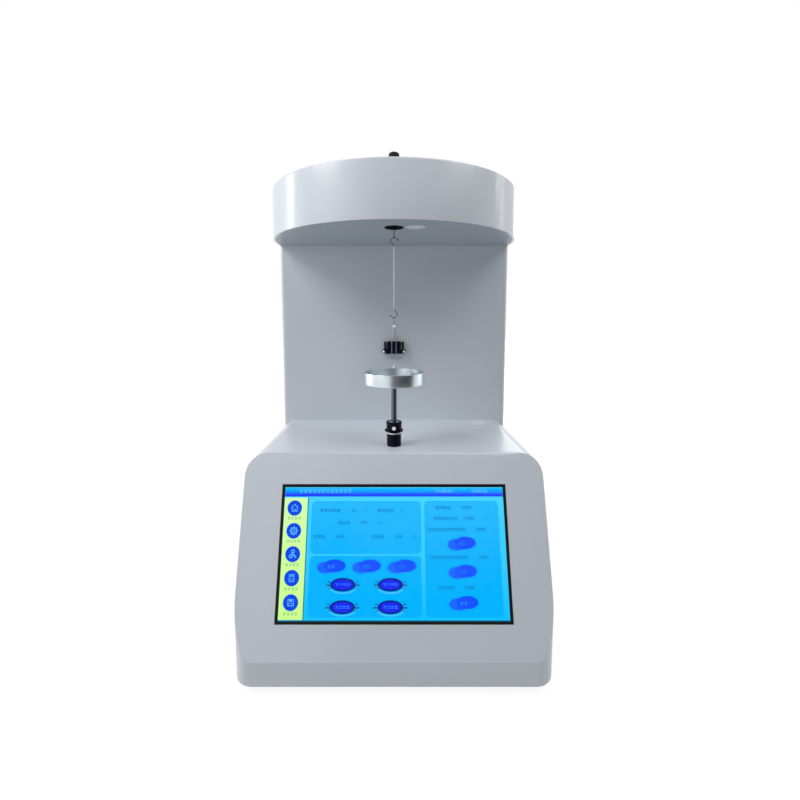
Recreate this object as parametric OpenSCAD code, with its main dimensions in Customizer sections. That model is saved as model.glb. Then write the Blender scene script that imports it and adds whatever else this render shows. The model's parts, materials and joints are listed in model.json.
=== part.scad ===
// Automatic ring-method surface tensiometer for the lab bench.
// A slanted base with a touch screen carries a flat column and a half-disc head.
// The force balance in the head holds a hook, a wire and a platinum ring.
// A motor in the base lifts the sample dish up to the ring.
// Millimetres, +Z up, +Y to the back, origin on the bench under the middle of the base.

/* [Base] */
// Width of the base housing
base_w = 305; // [290:1:340]
// Depth of the base housing, front to back
base_d = 290; // [270:1:320]
// Height of the housing from its bottom rim to the deck
body_h = 203; // [190:1:230]
// Height of the upright skirt under the slanted face
skirt_h = 24; // [16:1:40]
// Distance that the slanted face leans back on its way up
face_run = 64.5; // [45:0.5:80]
// Radius along the long edges of the deck
deck_edge_r = 22; // [8:1:30]
// Plan radius of the two front corners
front_corner_r = 20; // [8:1:24]
// Wall thickness of the base housing
base_wall = 3; // [2:0.5:4]
// Thickness of the bottom plate
plate_t = 3; // [2:0.5:5]

/* [Feet] */
// Height of the bottom rim above the bench
foot_h = 10; // [9:0.5:16]
// Diameter of a foot pad
foot_d = 28; // [20:1:40]
// Thickness of a foot pad
foot_pad_t = 7.5; // [5:0.5:8]
// Diameter of a foot's threaded stud
stud_d = 8; // [6:1:10]
// Distance of each foot from the sides of the base
foot_inset = 32; // [24:1:50]

/* [Screen] */
// Width of the black screen frame
screen_w = 226; // [180:1:240]
// Height of the black screen frame
screen_h = 127; // [100:1:135]
// Width of the frame's bars
screen_bar = 2.6; // [1.5:0.1:6]
// Distance from the deck's front edge down the face to the screen's middle
screen_drop = 95; // [80:1:100]

/* [Column] */
// Width of the column
column_w = 301; // [260:1:304]
// Depth of the column
column_d = 82; // [60:1:100]
// Radius of the column's upright front edges
column_r = 5; // [3:0.5:12]
// Wall thickness of the column
column_wall = 2.5; // [2:0.5:4]
// Free height between the deck and the head
clear_h = 233; // [210:1:260]

/* [Head] */
// Radius of the half-disc head
head_r = 150.5; // [120:0.5:155]
// Height of the head
head_h = 57.5; // [54:0.5:75]
// Distance of the half disc's centre in front of the column
head_lead = 7; // [0:1:20]
// Radius of the head's upper edge
head_edge_r = 2; // [1:0.5:6]
// Wall thickness of the head
head_wall = 3; // [2:0.5:4]
// Distance from the column's face forward to the hook's axis
hook_gap = 117; // [100:1:125]
// Diameter of the black bushing round the hook
bushing_d = 20; // [16:0.5:20]
// Diameter of the lamp lens beside the hook
lamp_d = 21; // [14:0.5:22]
// Distance of the lamp from the hook's axis
lamp_x = 22.5; // [21.5:0.5:30]

/* [Lock knob] */
// Diameter of the knob on the head
knob_d = 11; // [9:0.5:20]
// Height of the knob's top above the head
knob_h = 18; // [12:0.5:26]
// Distance that the lock pin comes down when the knob is turned
lock_travel = 1.7; // [0.5:0.1:1.7]

/* [Stage] */
// Diameter of the sample dish
dish_d = 64; // [50:1:90]
// Height of the sample dish
dish_h = 13; // [12:0.5:20]
// Width of the dish's rim
dish_rim = 3; // [2:0.5:5]
// Thickness of the dish's floor
dish_floor = 4; // [3.5:0.5:6]
// Height of the dish's rim above the deck with the stage down
dish_top = 81; // [60:1:84]
// Diameter of the stage rod
rod_d = 6; // [5:0.5:8]
// Diameter of the guide sleeve that stands on the deck
sleeve_d = 15.6; // [14:0.2:20]
// Height of the guide sleeve above the deck
sleeve_h = 16; // [10:0.5:20]
// Diameter of the stage collar
collar_d = 17; // [16:0.5:24]
// Height of the stage collar
collar_h = 10.5; // [9:0.5:16]
// Diameter of the collar's thin flange
flange_d = 20.4; // [17:0.2:26]
// Travel of the stage
lift_travel = 18; // [10:1:18]

/* [Ring and wire] */
// Mean diameter of the platinum ring
ring_d = 19.1; // [12:0.1:24]
// Height of the ring above the deck
ring_z = 95.9; // [95:0.1:99]
// Thickness of the ring's wire
ring_wire = 0.5; // [0.4:0.05:0.8]
// Thickness of the stirrup's wire
stirrup_wire = 0.6; // [0.4:0.05:1]
// Turn of the stirrup about the hook's axis, in degrees
ring_turn = 76; // [0:1:90]
// Thickness of the suspension wire
wire_d = 0.8; // [0.6:0.05:1.2]
// Thickness of the balance hook's wire
hook_wire = 1; // [0.8:0.05:1.4]

/* [Small parts] */
// Diameter of the bubble level
bubble_d = 21; // [14:0.5:26]
// Distance of the bubble level right of the middle
bubble_x = 111; // [70:1:115]
// Distance of the bubble level in front of the column
bubble_gap = 21; // [16:1:40]
// Width of the sensor socket on the column
socket_w = 30.8; // [26:0.2:40]
// Height of the sensor socket's lower edge above the deck
socket_z = 91; // [80:1:120]
// Radial clearance of shafts in their bores
running_gap = 0.05; // [0.02:0.01:0.1]
// Gap round covers, frames and lenses
seam = 0.3; // [0.2:0.05:0.5]

/* [Hidden] */
$fn = 64;

eps = 0.01;
// Levels
rim_z = foot_h;
skirt_z = rim_z + skirt_h;
deck_z = rim_z + body_h;
plate_top = rim_z + plate_t;
head_z = deck_z + clear_h;
head_top = head_z + head_h;
// Depths
front_y = -base_d / 2;
back_y = base_d / 2;
deck_front_y = front_y + face_run;
column_y = back_y - column_d;
hook_y = column_y - hook_gap;
head_cy = column_y - head_lead;
// Lean of the face from upright
face_h = body_h - skirt_h;
lean = atan(face_run / face_h);
// Screws of the case
screw_d = 3;
screw_head_d = 5.6;
screw_head_t = 1.4;
screw_l = 8;
tab = 12;
tab_t = 9;
// Rear panel, set back so that its sockets stay inside the outline
panel_t = 3;
panel_y = back_y - 8;
cover_t = 2.5;
cover_y = back_y - 1 - cover_t;
// Bosses of the bottom plate
boss_d = 11;
boss_l = 26;
boss_x = base_w / 2 - base_wall - boss_d / 2 + 1;
boss_front_y = front_y + 20;
boss_back_y = panel_y - boss_d / 2 - 2;
// Feet
foot_x = base_w / 2 - foot_inset;
foot_y = base_d / 2 - foot_inset + 2;
stud_l = 20;
nut_t = 6.5;
nut_d = stud_d * 1.875;
// Cable holes between base, column and head
cable_d = 30;
cable_y = (column_y + cover_y) / 2;
// Screen stack, counted down from the face
bezel_drop = 0.3;
bezel_lip = 3;
bezel_lip_t = 2;
bezel_depth = base_wall + bezel_lip_t;
glass_t = 1.2;
lcd_t = 5;
glass_seat = 0.3;
// Lift
screw_gap = 20;
lift_y = hook_y + screw_gap;
lead_d = 8;
guide_d = 6;
guide_x = 24;
frame_half = 36;
frame_plate_y = lift_y + 24;
frame_t = 4;
frame_foot = 24;
motor_lip = 24;
top_lip = 10;
rib_x = 28.8;
rib_t = 4;
rib_d = 14;
rib_h = 90;
motor_w = 42;
motor_h = 38;
motor_flange_z = plate_top + 55;
flange_t = 6;
top_flange_z = deck_z - 37;
carriage_t = 16;
carriage_edge = 9;
carriage_back = 12;
carriage_z = top_flange_z - lift_travel - carriage_t - 10;
coupling_z = motor_flange_z + flange_t + 6;
coupling_l = 24;
coupling_d = 16;
shaft_d = 5;
lead_top = top_flange_z + flange_t;
bearing_t = 5;
bearing_d = 16;
nut_flange_d = 22;
nut_flange_t = 3;
nut_body_d = 12;
// Stage
dish_base_z = deck_z + dish_top - dish_h;
spigot_d = 4;
spigot_h = 2.5;
sleeve_foot_d = 12;
sleeve_foot_l = 12;
sleeve_nut_d = 20.4;
sleeve_nut_t = 5;
collar_z = deck_z + sleeve_h + 0.2;
collar_flange_t = 1.4;
insert_d = 12;
insert_t = 3;
collar_screw_d = 4;
collar_screw_z = (collar_flange_t + collar_h - insert_t) / 2;
// Balance
lens_t = head_wall;
board_t = 1.6;
bracket_z = head_z + head_wall + 8;
bracket_t = 6;
bracket_post_d = 8;
bracket_post_x = 32;
bracket_post_y = 24;
bracket_edge = 6;
pot_z = bracket_z + bracket_t;
pot_h = 22;
pot_d = 46;
pot_core_d = 26;
pot_gap_d = 31.4;
pot_floor = 5;
hanger_stem_d = 3;
hanger_hole_d = 5.4;
hanger_in_d = 27;
hanger_out_d = 28.6;
coil_out_d = 30.4;
hanger_cap_z = pot_z + pot_h + 4;
hanger_cap_t = 2.5;
hanger_top = hanger_cap_z + hanger_cap_t;
pin_d = 4;
pin_rest_z = hanger_top + lock_travel + 0.8;
pin_l = 9;
spindle_d = 7;
bush_d = 11;
bush_flange_d = 15;
bush_flange_t = 1.5;
bushing_body_d = 16;
bushing_bore_d = 9;
bushing_lip = 0.8;
// Hook and wires, heights above the deck taken from the head and from the ring
hang_gap = 0.3;
eye_r = 2.2;
eye_z = head_z - 8.9;
wire_bend_r = 0.9;
wire_top_x = 3.8;
wire_tip_x = 5.3;
low_tip_x = 4.4;
top_drop = 3.7;
low_rise = 4.5;
low_tip_rise = 3.5;
// How far a bend's middle stays short of its corner, for the two bends that carry
top_cut = wire_bend_r * (1 / cos((atan(top_drop / wire_tip_x) + atan(top_drop / wire_top_x)) / 2) - 1);
low_cut = wire_bend_r * (1 / cos((atan(low_rise / wire_top_x) + atan(low_tip_rise / low_tip_x)) / 2) - 1);
apex_z = eye_z - eye_r + (hook_wire + wire_d) / 2 + hang_gap + top_cut;
hanger_z = deck_z + ring_z + 42.1;
stem_eye_r = 1.6;
stem_wire = 0.5;
tie_wire = 0.4;
stem_d = 0.9;
stem_eye_z = hanger_z + low_cut + (wire_d + stem_wire) / 2 + hang_gap - stem_eye_r;
bead_z = deck_z + ring_z + 33.7;
bead_d = 3;
shoulder_z = deck_z + ring_z + 22;
// Sensor socket
socket_block_w = 17.6;
socket_block_h = 16.2;
socket_block_y = 10;
socket_foot_h = 5.2;
socket_foot_y = 8;
socket_arm_w = 2.2;
socket_arm_x = 11.9;
socket_screw_x = 13.1;
socket_screw_d = 3.8;
// Park hook
peg_d = 3.4;
peg_z = deck_z + 66;
peg_reach = 9;
peg_tip = 10;
// Rear sockets
socket_row_z = plate_top + 55;
inlet_x = -95;
switch_x = -50;
serial_x = 45;
inlet_w = 28;
inlet_h = 42;
inlet_cavity_w = 24.6;
inlet_cavity_h = 16.8;
inlet_cavity_d = 16;
inlet_cavity_z = 8;
drawer_w = 20;
drawer_h = 8;
drawer_z = -11;
drawer_l = 15;
inlet_flange_t = 2.5;
inlet_flange = 4;
inlet_body_d = 22;
rocker_w = 13;
rocker_half = 10;
rocker_clear = 12.9;
rocker_axle_d = 3;
rocker_tilt = 12;
rocker_y = panel_y - 0.5;
switch_wall = 2;
switch_depth = 12;

// ---------- plain shapes ----------

module block(x, y, z) {
    translate([x[0], y[0], z[0]])
        cube([x[1] - x[0], y[1] - y[0], z[1] - z[0]]);
}

// Outline with its two front corners rounded, from y0 at the front to y1
module front_rounded(w, y0, y1, r) {
    translate([-w / 2, y0 + r]) square([w, y1 - y0 - r]);
    translate([-w / 2 + r, y0]) square([w - 2 * r, r + eps]);
    for (x = [-1, 1])
        translate([x * (w / 2 - r), y0 + r]) circle(r);
}

// Outline with its two upper corners rounded, from z0 up to z1
module arch(w, z0, z1, r) {
    translate([-w / 2, z0]) square([w, z1 - z0 - r]);
    translate([-w / 2 + r, z1 - r - eps]) square([w - 2 * r, r + eps]);
    for (x = [-1, 1])
        translate([x * (w / 2 - r), z1 - r]) circle(r);
}

// Sweeps an X-Z outline from y0 back to y1
module sweep_y(y0, y1) {
    translate([0, y1, 0]) rotate([90, 0, 0]) linear_extrude(y1 - y0) children();
}

module rod(d, z0, z1) {
    translate([0, 0, z0]) cylinder(d = d, h = z1 - z0);
}

// Direction of a flat wire's stretch from point i on, in degrees
function heading(p, i) = atan2(p[i + 1][1] - p[i][1], p[i + 1][0] - p[i][0]);

// Turn of a flat wire at point i, from -180 to 180 degrees
function turn_at(p, i) =
    let (t = heading(p, i) - heading(p, i - 1))
    t > 180 ? t - 360 : (t < -180 ? t + 360 : t);

// How far the bend at point i reaches along each of its two stretches
function bend_reach(p, i, r) =
    i == 0 || i == len(p) - 1 ? 0 : r * tan(abs(turn_at(p, i)) / 2);

// A wire bent in the X-Z plane through points [x, z], with bends of radius r
module bent_wire(points, d, r) {
    rotate([90, 0, 0]) {
        for (i = [0 : len(points) - 2]) {
            a0 = bend_reach(points, i, r);
            a1 = bend_reach(points, i + 1, r);
            translate(points[i])
                rotate([0, 90, heading(points, i)])
                    translate([0, 0, a0])
                        cylinder(d = d, h = norm(points[i + 1] - points[i]) - a0 - a1, $fn = 16);
        }
        for (i = [1 : 1 : len(points) - 2]) {
            side = sign(turn_at(points, i));
            translate(points[i])
                rotate([0, 0, heading(points, i - 1)])
                    translate([-bend_reach(points, i, r), side * r])
                        rotate([0, 0, -90 * side])
                            rotate_extrude(angle = turn_at(points, i), $fn = 48)
                                translate([r, 0]) circle(d = d, $fn = 16);
        }
    }
}

// Part of a ring of wire in the Y-Z plane, from angle a0 over a turn
module wire_arc(r, d, a0, turn) {
    rotate([90, 0, 90]) rotate([0, 0, a0])
        rotate_extrude(angle = turn, $fn = 48) translate([r, 0]) circle(d = d, $fn = 16);
}

// A case screw that points down its own -Z, with its head flush at z = 0
module case_screw() {
    translate([0, 0, -screw_head_t]) cylinder(d = screw_head_d, h = screw_head_t);
    translate([0, 0, -screw_l]) cylinder(d = screw_d, h = screw_l - screw_head_t);
}

// The hole that a case screw needs
module screw_hole() {
    translate([0, 0, -screw_head_t - running_gap])
        cylinder(d = screw_head_d + 2 * running_gap, h = screw_head_t + 5);
    translate([0, 0, -screw_l - 1])
        cylinder(d = screw_d + 2 * running_gap, h = screw_l + 2);
}

// ---------- where the case screws sit ----------

panel_screw_x = base_w / 2 - base_wall - seam - tab / 2;
panel_screw_z = [plate_top + 20, deck_z - base_wall - deck_edge_r - 6];
column_screw_x = column_w / 2 - column_wall - seam - tab / 2;
column_screw_z = [deck_z + column_wall + 20, head_z - column_wall - 20];
head_screw_x = head_r - head_wall - seam - tab / 2;
head_screw_z = head_z + head_h / 2;

module at_plate_screws() {
    for (x = [-1, 1], y = [boss_front_y, boss_back_y])
        translate([x * boss_x, y, rim_z]) rotate([180, 0, 0]) children();
}

module at_panel_screws() {
    for (x = [-1, 1], z = panel_screw_z)
        translate([x * panel_screw_x, panel_y + panel_t, z]) rotate([-90, 0, 0]) children();
}

module at_column_screws() {
    for (x = [-1, 1], z = column_screw_z)
        translate([x * column_screw_x, cover_y + cover_t, z]) rotate([-90, 0, 0]) children();
}

module at_head_screws() {
    for (x = [-1, 1])
        translate([x * head_screw_x, cover_y + cover_t, head_screw_z])
            rotate([-90, 0, 0]) children();
}

module at_feet() {
    for (x = [-1, 1], y = [-1, 1]) translate([x * foot_x, y * foot_y, 0]) children();
}

// ---------- base ----------

// Places children on the slanted face: x across, y up the face, z out of it
module on_face() {
    translate([
        0,
        deck_front_y - screen_drop * sin(lean),
        deck_z - screen_drop * cos(lean)
    ])
        rotate([90 - lean, 0, 0]) children();
}

// Side view of the base, drawn inset from the outside on all sides but the bottom
function base_side(inset, z0) = [
    [front_y + inset, z0],
    [front_y + inset, skirt_z - inset * (1 / cos(lean) - 1) / tan(lean)],
    [deck_front_y - inset * tan(lean) + inset / cos(lean), deck_z - inset],
    [back_y + (inset == 0 ? 0 : 1), deck_z - inset],
    [back_y + (inset == 0 ? 0 : 1), z0]
];

module base_block(inset, z0) {
    intersection() {
        translate([0, 0, z0])
            linear_extrude(deck_z - z0)
                front_rounded(base_w - 2 * inset, front_y + inset,
                    back_y + (inset == 0 ? 0 : 1), front_corner_r - inset);
        sweep_y(front_y - 1, back_y + 2)
            arch(base_w - 2 * inset, z0, deck_z - inset, deck_edge_r - inset);
        rotate([90, 0, 90])
            translate([0, 0, -base_w / 2])
                linear_extrude(base_w)
                    polygon(base_side(inset, z0));
    }
}

module base_shell() {
    color("gainsboro") difference() {
        union() {
            difference() {
                base_block(0, rim_z);
                base_block(base_wall, rim_z - 1);
            }
            // bosses for the bottom plate's screws
            intersection() {
                base_block(base_wall / 2, rim_z);
                for (x = [-1, 1], y = [boss_front_y, boss_back_y])
                    translate([x * boss_x, y, plate_top]) cylinder(d = boss_d, h = boss_l);
            }
            // tabs for the rear panel's screws
            for (x = [-1, 1], z = panel_screw_z)
                translate([
                    x * (base_w / 2 - base_wall - (tab + seam) / 2 + 0.5),
                    panel_y - tab_t / 2,
                    z
                ])
                    cube([tab + seam + 1, tab_t, tab], center = true);
        }
        at_plate_screws() screw_hole();
        at_panel_screws() screw_hole();
        on_face()
            cube([screen_w + 2 * seam, screen_h + 2 * seam, 6 * base_wall], center = true);
        translate([0, hook_y, deck_z - 2 * base_wall])
            cylinder(d = sleeve_foot_d + 2 * running_gap, h = 3 * base_wall);
        translate([0, cable_y, deck_z - 2 * base_wall])
            cylinder(d = cable_d, h = 3 * base_wall);
        translate([bubble_x, column_y - bubble_gap, deck_z - 2 * base_wall])
            cylinder(d = bubble_d - 3 + 2 * running_gap, h = 3 * base_wall);
    }
}

module base_plate() {
    color("dimgray") difference() {
        translate([0, 0, rim_z])
            linear_extrude(plate_t)
                front_rounded(base_w - 2 * (base_wall + seam), front_y + base_wall + seam,
                    panel_y + panel_t, front_corner_r - base_wall - seam);
        at_feet() rod(stud_d + 2 * running_gap, rim_z - 1, plate_top + 1);
        at_plate_screws() screw_hole();
    }
}

module foot_nuts() {
    color("silver") at_feet() difference() {
        translate([0, 0, plate_top]) cylinder(d = nut_d, h = nut_t, $fn = 6);
        rod(stud_d + 2 * running_gap, plate_top - 1, plate_top + nut_t + 1);
    }
}

// A levelling foot: pad, neck and stud turned in one piece
module foot(x, y) {
    pad_r = foot_d / 2;
    color("black") translate([x * foot_x, y * foot_y, 0])
        rotate_extrude()
            polygon([
                [0, 0],
                [pad_r - 1.5, 0],
                [pad_r, 1.5],
                [pad_r, foot_pad_t - 2.5],
                [pad_r - 2.5, foot_pad_t],
                [stud_d / 2, foot_pad_t],
                [stud_d / 2, rim_z + stud_l - 1],
                [stud_d / 2 - 1, rim_z + stud_l],
                [0, rim_z + stud_l]
            ]);
}

module foot_front_left() {
    foot(-1, -1);
}

module foot_front_right() {
    foot(1, -1);
}

module foot_rear_left() {
    foot(-1, 1);
}

module foot_rear_right() {
    foot(1, 1);
}

module rear_panel() {
    vent_l = 44;
    vent_w = 3;
    vent_step = 8;
    color("gainsboro") difference() {
        sweep_y(panel_y, panel_y + panel_t)
            arch(base_w - 2 * (base_wall + seam), plate_top + seam,
                deck_z - base_wall - seam, deck_edge_r - base_wall - seam);
        at_panel_screws() screw_hole();
        for (x = [-1, 1], i = [0 : 7])
            translate([x * 85, panel_y + panel_t / 2, socket_row_z + 38 + i * vent_step])
                cube([vent_l, panel_t + 2, vent_w], center = true);
        translate([inlet_x, panel_y + panel_t / 2, socket_row_z])
            cube([inlet_w + 2 * seam, panel_t + 2, inlet_h + 2 * seam], center = true);
        translate([switch_x, panel_y + panel_t / 2, socket_row_z])
            cube([
                rocker_w + 2 * switch_wall + 3 * seam,
                panel_t + 2,
                2 * (rocker_clear + switch_wall + seam)
            ], center = true);
        translate([serial_x, panel_y + panel_t / 2, socket_row_z])
            cube([19 + 2 * seam, panel_t + 2, 11 + 2 * seam], center = true);
    }
}

// ---------- screen ----------

module screen_bezel() {
    color("black") on_face() difference() {
        union() {
            translate([-screen_w / 2, -screen_h / 2, -base_wall])
                cube([screen_w, screen_h, base_wall - bezel_drop]);
            translate([-screen_w / 2 - bezel_lip, -screen_h / 2 - bezel_lip, -bezel_depth])
                cube([screen_w + 2 * bezel_lip, screen_h + 2 * bezel_lip, bezel_lip_t]);
        }
        translate([0, 0, -bezel_depth / 2])
            cube([
                screen_w - 2 * screen_bar,
                screen_h - 2 * screen_bar,
                bezel_depth + 2
            ], center = true);
    }
}

module touch_glass() {
    color("skyblue") on_face()
        translate([
            -screen_w / 2 + screen_bar + seam / 2,
            -screen_h / 2 + screen_bar + seam / 2,
            -bezel_drop - glass_seat - glass_t
        ])
            cube([
                screen_w - 2 * screen_bar - seam,
                screen_h - 2 * screen_bar - seam,
                glass_t
            ]);
}

module lcd_panel() {
    raised = bezel_depth - bezel_drop - glass_seat - glass_t - seam;
    color("deepskyblue") on_face() {
        translate([-screen_w / 2 + seam, -screen_h / 2 + seam, -bezel_depth - lcd_t])
            cube([screen_w - 2 * seam, screen_h - 2 * seam, lcd_t]);
        translate([
            -screen_w / 2 + screen_bar + seam,
            -screen_h / 2 + screen_bar + seam,
            -bezel_depth - eps
        ])
            cube([
                screen_w - 2 * screen_bar - 2 * seam,
                screen_h - 2 * screen_bar - 2 * seam,
                raised + eps
            ]);
    }
}

// ---------- column ----------

// The column's foot follows the deck's rounded shoulders
module column_shell() {
    inner_w = column_w - 2 * column_wall;
    foot_z = deck_z - deck_edge_r;
    color("gainsboro") difference() {
        translate([0, 0, foot_z])
            linear_extrude(head_z - foot_z)
                front_rounded(column_w, column_y, back_y, column_r);
        base_block(0, rim_z);
        difference() {
            translate([0, 0, foot_z])
                linear_extrude(head_z - column_wall - foot_z)
                    front_rounded(inner_w, column_y + column_wall, back_y + 1,
                        column_r - column_wall);
            base_block(-column_wall, rim_z);
            // tabs for the cover's screws
            for (x = [-1, 1], z = column_screw_z)
                translate([
                    x * (column_w / 2 - column_wall - (tab + seam) / 2 + 0.5),
                    cover_y - tab_t / 2,
                    z
                ])
                    cube([tab + seam + 1, tab_t, tab], center = true);
        }
        at_column_screws() screw_hole();
        for (z = [deck_z, head_z])
            translate([0, cable_y, z])
                cylinder(d = cable_d, h = 3 * column_wall, center = true);
    }
}

module column_cover() {
    color("gainsboro") difference() {
        sweep_y(cover_y, cover_y + cover_t)
            translate([-column_w / 2 + column_wall + seam, deck_z + column_wall + seam])
                square([
                    column_w - 2 * (column_wall + seam),
                    clear_h - 2 * (column_wall + seam)
                ]);
        at_column_screws() screw_hole();
        for (x = [-1, 0, 1], i = [0 : 5])
            translate([x * 60, cover_y + cover_t / 2, deck_z + 40 + i * 9])
                cube([40, cover_t + 2, 3], center = true);
    }
}

// ---------- head ----------

// Half disc with straight sides to the back, and a rounded upper edge
module head_block(inset, z0) {
    r = head_r - inset;
    top = head_top - inset;
    edge = max(head_edge_r - inset, 0.5);
    y1 = back_y + (inset == 0 ? 0 : 1);
    difference() {
        translate([0, head_cy, 0])
            rotate_extrude($fn = 128) {
                translate([0, z0]) square([r, top - edge - z0]);
                translate([0, top - edge - eps]) square([r - edge, edge + eps]);
                intersection() {
                    translate([r - edge, top - edge]) circle(edge);
                    translate([r - edge - eps, top - edge - eps]) square(2 * edge);
                }
            }
        block([-2 * r, 2 * r], [head_cy, head_cy + 2 * r], [z0 - 1, top + 1]);
    }
    sweep_y(head_cy, y1) arch(2 * r, z0, top, edge);
}

module head_shell() {
    color("gainsboro") difference() {
        union() {
            difference() {
                head_block(0, head_z);
                head_block(head_wall, head_z - 1);
            }
            // tabs for the rear cover's screws
            for (x = [-1, 1])
                translate([
                    x * (head_r - head_wall - (tab + seam) / 2 + 0.5),
                    cover_y - tab_t / 2,
                    head_screw_z
                ])
                    cube([tab + seam + 1, tab_t, tab], center = true);
            // ledges that the underside plate comes up against
            for (a = [30, 90, 150])
                translate([0, head_cy, 0])
                    rotate([0, 0, -a])
                        translate([head_r - head_wall - 8, -10, head_z + head_wall])
                            cube([9, 20, 6]);
        }
        at_head_screws() screw_hole();
        translate([0, hook_y, head_top - 2 * head_wall])
            cylinder(d = bush_d + 2 * running_gap, h = 3 * head_wall);
    }
}

module head_plate() {
    r = head_r - head_wall - seam;
    color("silver") difference() {
        union() {
            translate([0, head_cy, head_z])
                rotate([0, 0, 180])
                    rotate_extrude(angle = 180, $fn = 128) square([r, head_wall]);
            block([-r, r], [head_cy - eps, cover_y - seam], [head_z, head_z + head_wall]);
        }
        translate([0, hook_y, head_z - 1])
            cylinder(d = bushing_body_d + 2 * running_gap, h = head_wall + 2);
        translate([lamp_x, hook_y, head_z - 1])
            cylinder(d = lamp_d + 2 * running_gap, h = head_wall + 2);
        translate([0, cable_y, head_z - 1]) cylinder(d = cable_d, h = head_wall + 2);
    }
}

module head_cover() {
    r = head_r - head_wall - seam;
    color("gainsboro") difference() {
        block([-r, r], [cover_y, cover_y + cover_t],
            [head_z + seam, head_top - head_wall - seam]);
        at_head_screws() screw_hole();
    }
}

module case_screws() {
    color("silver") {
        at_plate_screws() case_screw();
        at_panel_screws() case_screw();
        at_column_screws() case_screw();
        at_head_screws() case_screw();
    }
}

module hook_bushing() {
    color("black") translate([0, hook_y, 0]) difference() {
        union() {
            rod(bushing_d, head_z - bushing_lip, head_z);
            rod(bushing_body_d, head_z - eps, head_z + head_wall + 1);
        }
        rod(bushing_bore_d, head_z - 2, head_z + head_wall + 2);
    }
}

module lamp_lens() {
    color("white") translate([lamp_x, hook_y, 0]) rod(lamp_d, head_z, head_z + lens_t);
}

module lamp_board() {
    color("darkgreen") translate([lamp_x, hook_y, head_z + lens_t]) {
        difference() {
            cylinder(d = lamp_d + 1, h = board_t);
            translate([-lamp_x, 0, -1])
                cylinder(d = bushing_body_d + 1, h = board_t + 2);
        }
        translate([0, 0, board_t - eps]) cylinder(d = 8, h = 2);
    }
}

module knob_bush() {
    color("silver") translate([0, hook_y, 0]) difference() {
        union() {
            rod(bush_flange_d, head_top, head_top + bush_flange_t);
            rod(bush_d, head_top - head_wall - 2, head_top + eps);
        }
        rod(spindle_d + 2 * running_gap, head_top - head_wall - 3, head_top + 3);
    }
}

module lock_knob() {
    r = knob_d / 2;
    base = bush_flange_t + seam;
    color("black") translate([0, hook_y, head_top]) difference() {
        rotate_extrude() {
            polygon([
                [0, base],
                [r - 0.5, base],
                [r, base + 0.5],
                [r, knob_h - r / 2],
                [0, knob_h - r / 2]
            ]);
            // domed top, half as high as its radius
            polygon([
                for (a = [0 : 6 : 90]) [r * cos(a), knob_h - r / 2 + r / 2 * sin(a)],
                [0, knob_h - r / 2 - 1],
                [r, knob_h - r / 2 - 1]
            ]);
            translate([0, -head_wall - 1]) square([spindle_d / 2, base + head_wall + 1 + eps]);
        }
        rod(pin_d + 2 * running_gap, -head_wall - 2, 6);
    }
}

module lock_pin() {
    color("silver") translate([0, hook_y, 0])
        rod(pin_d, pin_rest_z, pin_rest_z + pin_l);
}

// ---------- balance ----------

module balance_bracket() {
    color("silver") translate([0, hook_y, 0]) difference() {
        union() {
            block([-bracket_post_x - bracket_edge, bracket_post_x + bracket_edge],
                [-bracket_post_y - bracket_edge, bracket_post_y + bracket_edge],
                [bracket_z, bracket_z + bracket_t]);
            for (x = [-1, 1], y = [-1, 1])
                translate([x * bracket_post_x, y * bracket_post_y, head_z + head_wall])
                    cylinder(d = bracket_post_d, h = bracket_z - head_z - head_wall + eps);
        }
        rod(hanger_hole_d, bracket_z - 1, bracket_z + bracket_t + 1);
    }
}

module magnet_pot() {
    color("slategray") translate([0, hook_y, pot_z]) difference() {
        cylinder(d = pot_d, h = pot_h);
        difference() {
            rod(pot_gap_d, pot_floor, pot_h + 1);
            rod(pot_core_d, pot_floor - 1, pot_h + 2);
        }
        rod(hanger_hole_d, -1, pot_h + 1);
    }
}

module coil_hanger() {
    color("white") translate([0, hook_y, 0]) difference() {
        union() {
            rod(hanger_out_d, pot_z + pot_floor + 3, hanger_top);
            rod(hanger_stem_d, bracket_z - 2, pot_z + pot_h);
        }
        difference() {
            rod(hanger_in_d, pot_z + pot_floor, hanger_cap_z);
            rod(hanger_stem_d, pot_z, hanger_cap_z + 1);
        }
        rod(hook_wire + 2 * running_gap, bracket_z - 3, bracket_z + 4);
    }
}

module force_coil() {
    color("peru") translate([0, hook_y, 0]) difference() {
        rod(coil_out_d, pot_z + pot_floor + 4, pot_z + pot_floor + 13);
        rod(hanger_out_d + 2 * running_gap, pot_z, pot_z + pot_h);
    }
}

module balance_hook() {
    color("gray") translate([0, hook_y, 0]) {
        rod(hook_wire, eye_z + eye_r, bracket_z + 3.5);
        translate([0, 0, eye_z]) wire_arc(eye_r, hook_wire, 90, -250);
    }
}

// ---------- wire and ring ----------

module suspension_wire() {
    apex = apex_z - hanger_z;
    color("dimgray") translate([0, hook_y, hanger_z])
        bent_wire([
            [wire_tip_x, apex - top_drop],
            [0, apex],
            [-wire_top_x, apex - top_drop],
            [0, apex - top_drop - 6],
            [0, 10.2],
            [wire_top_x, low_rise],
            [0, 0],
            [-low_tip_x, low_tip_rise]
        ], wire_d, wire_bend_r);
}

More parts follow.
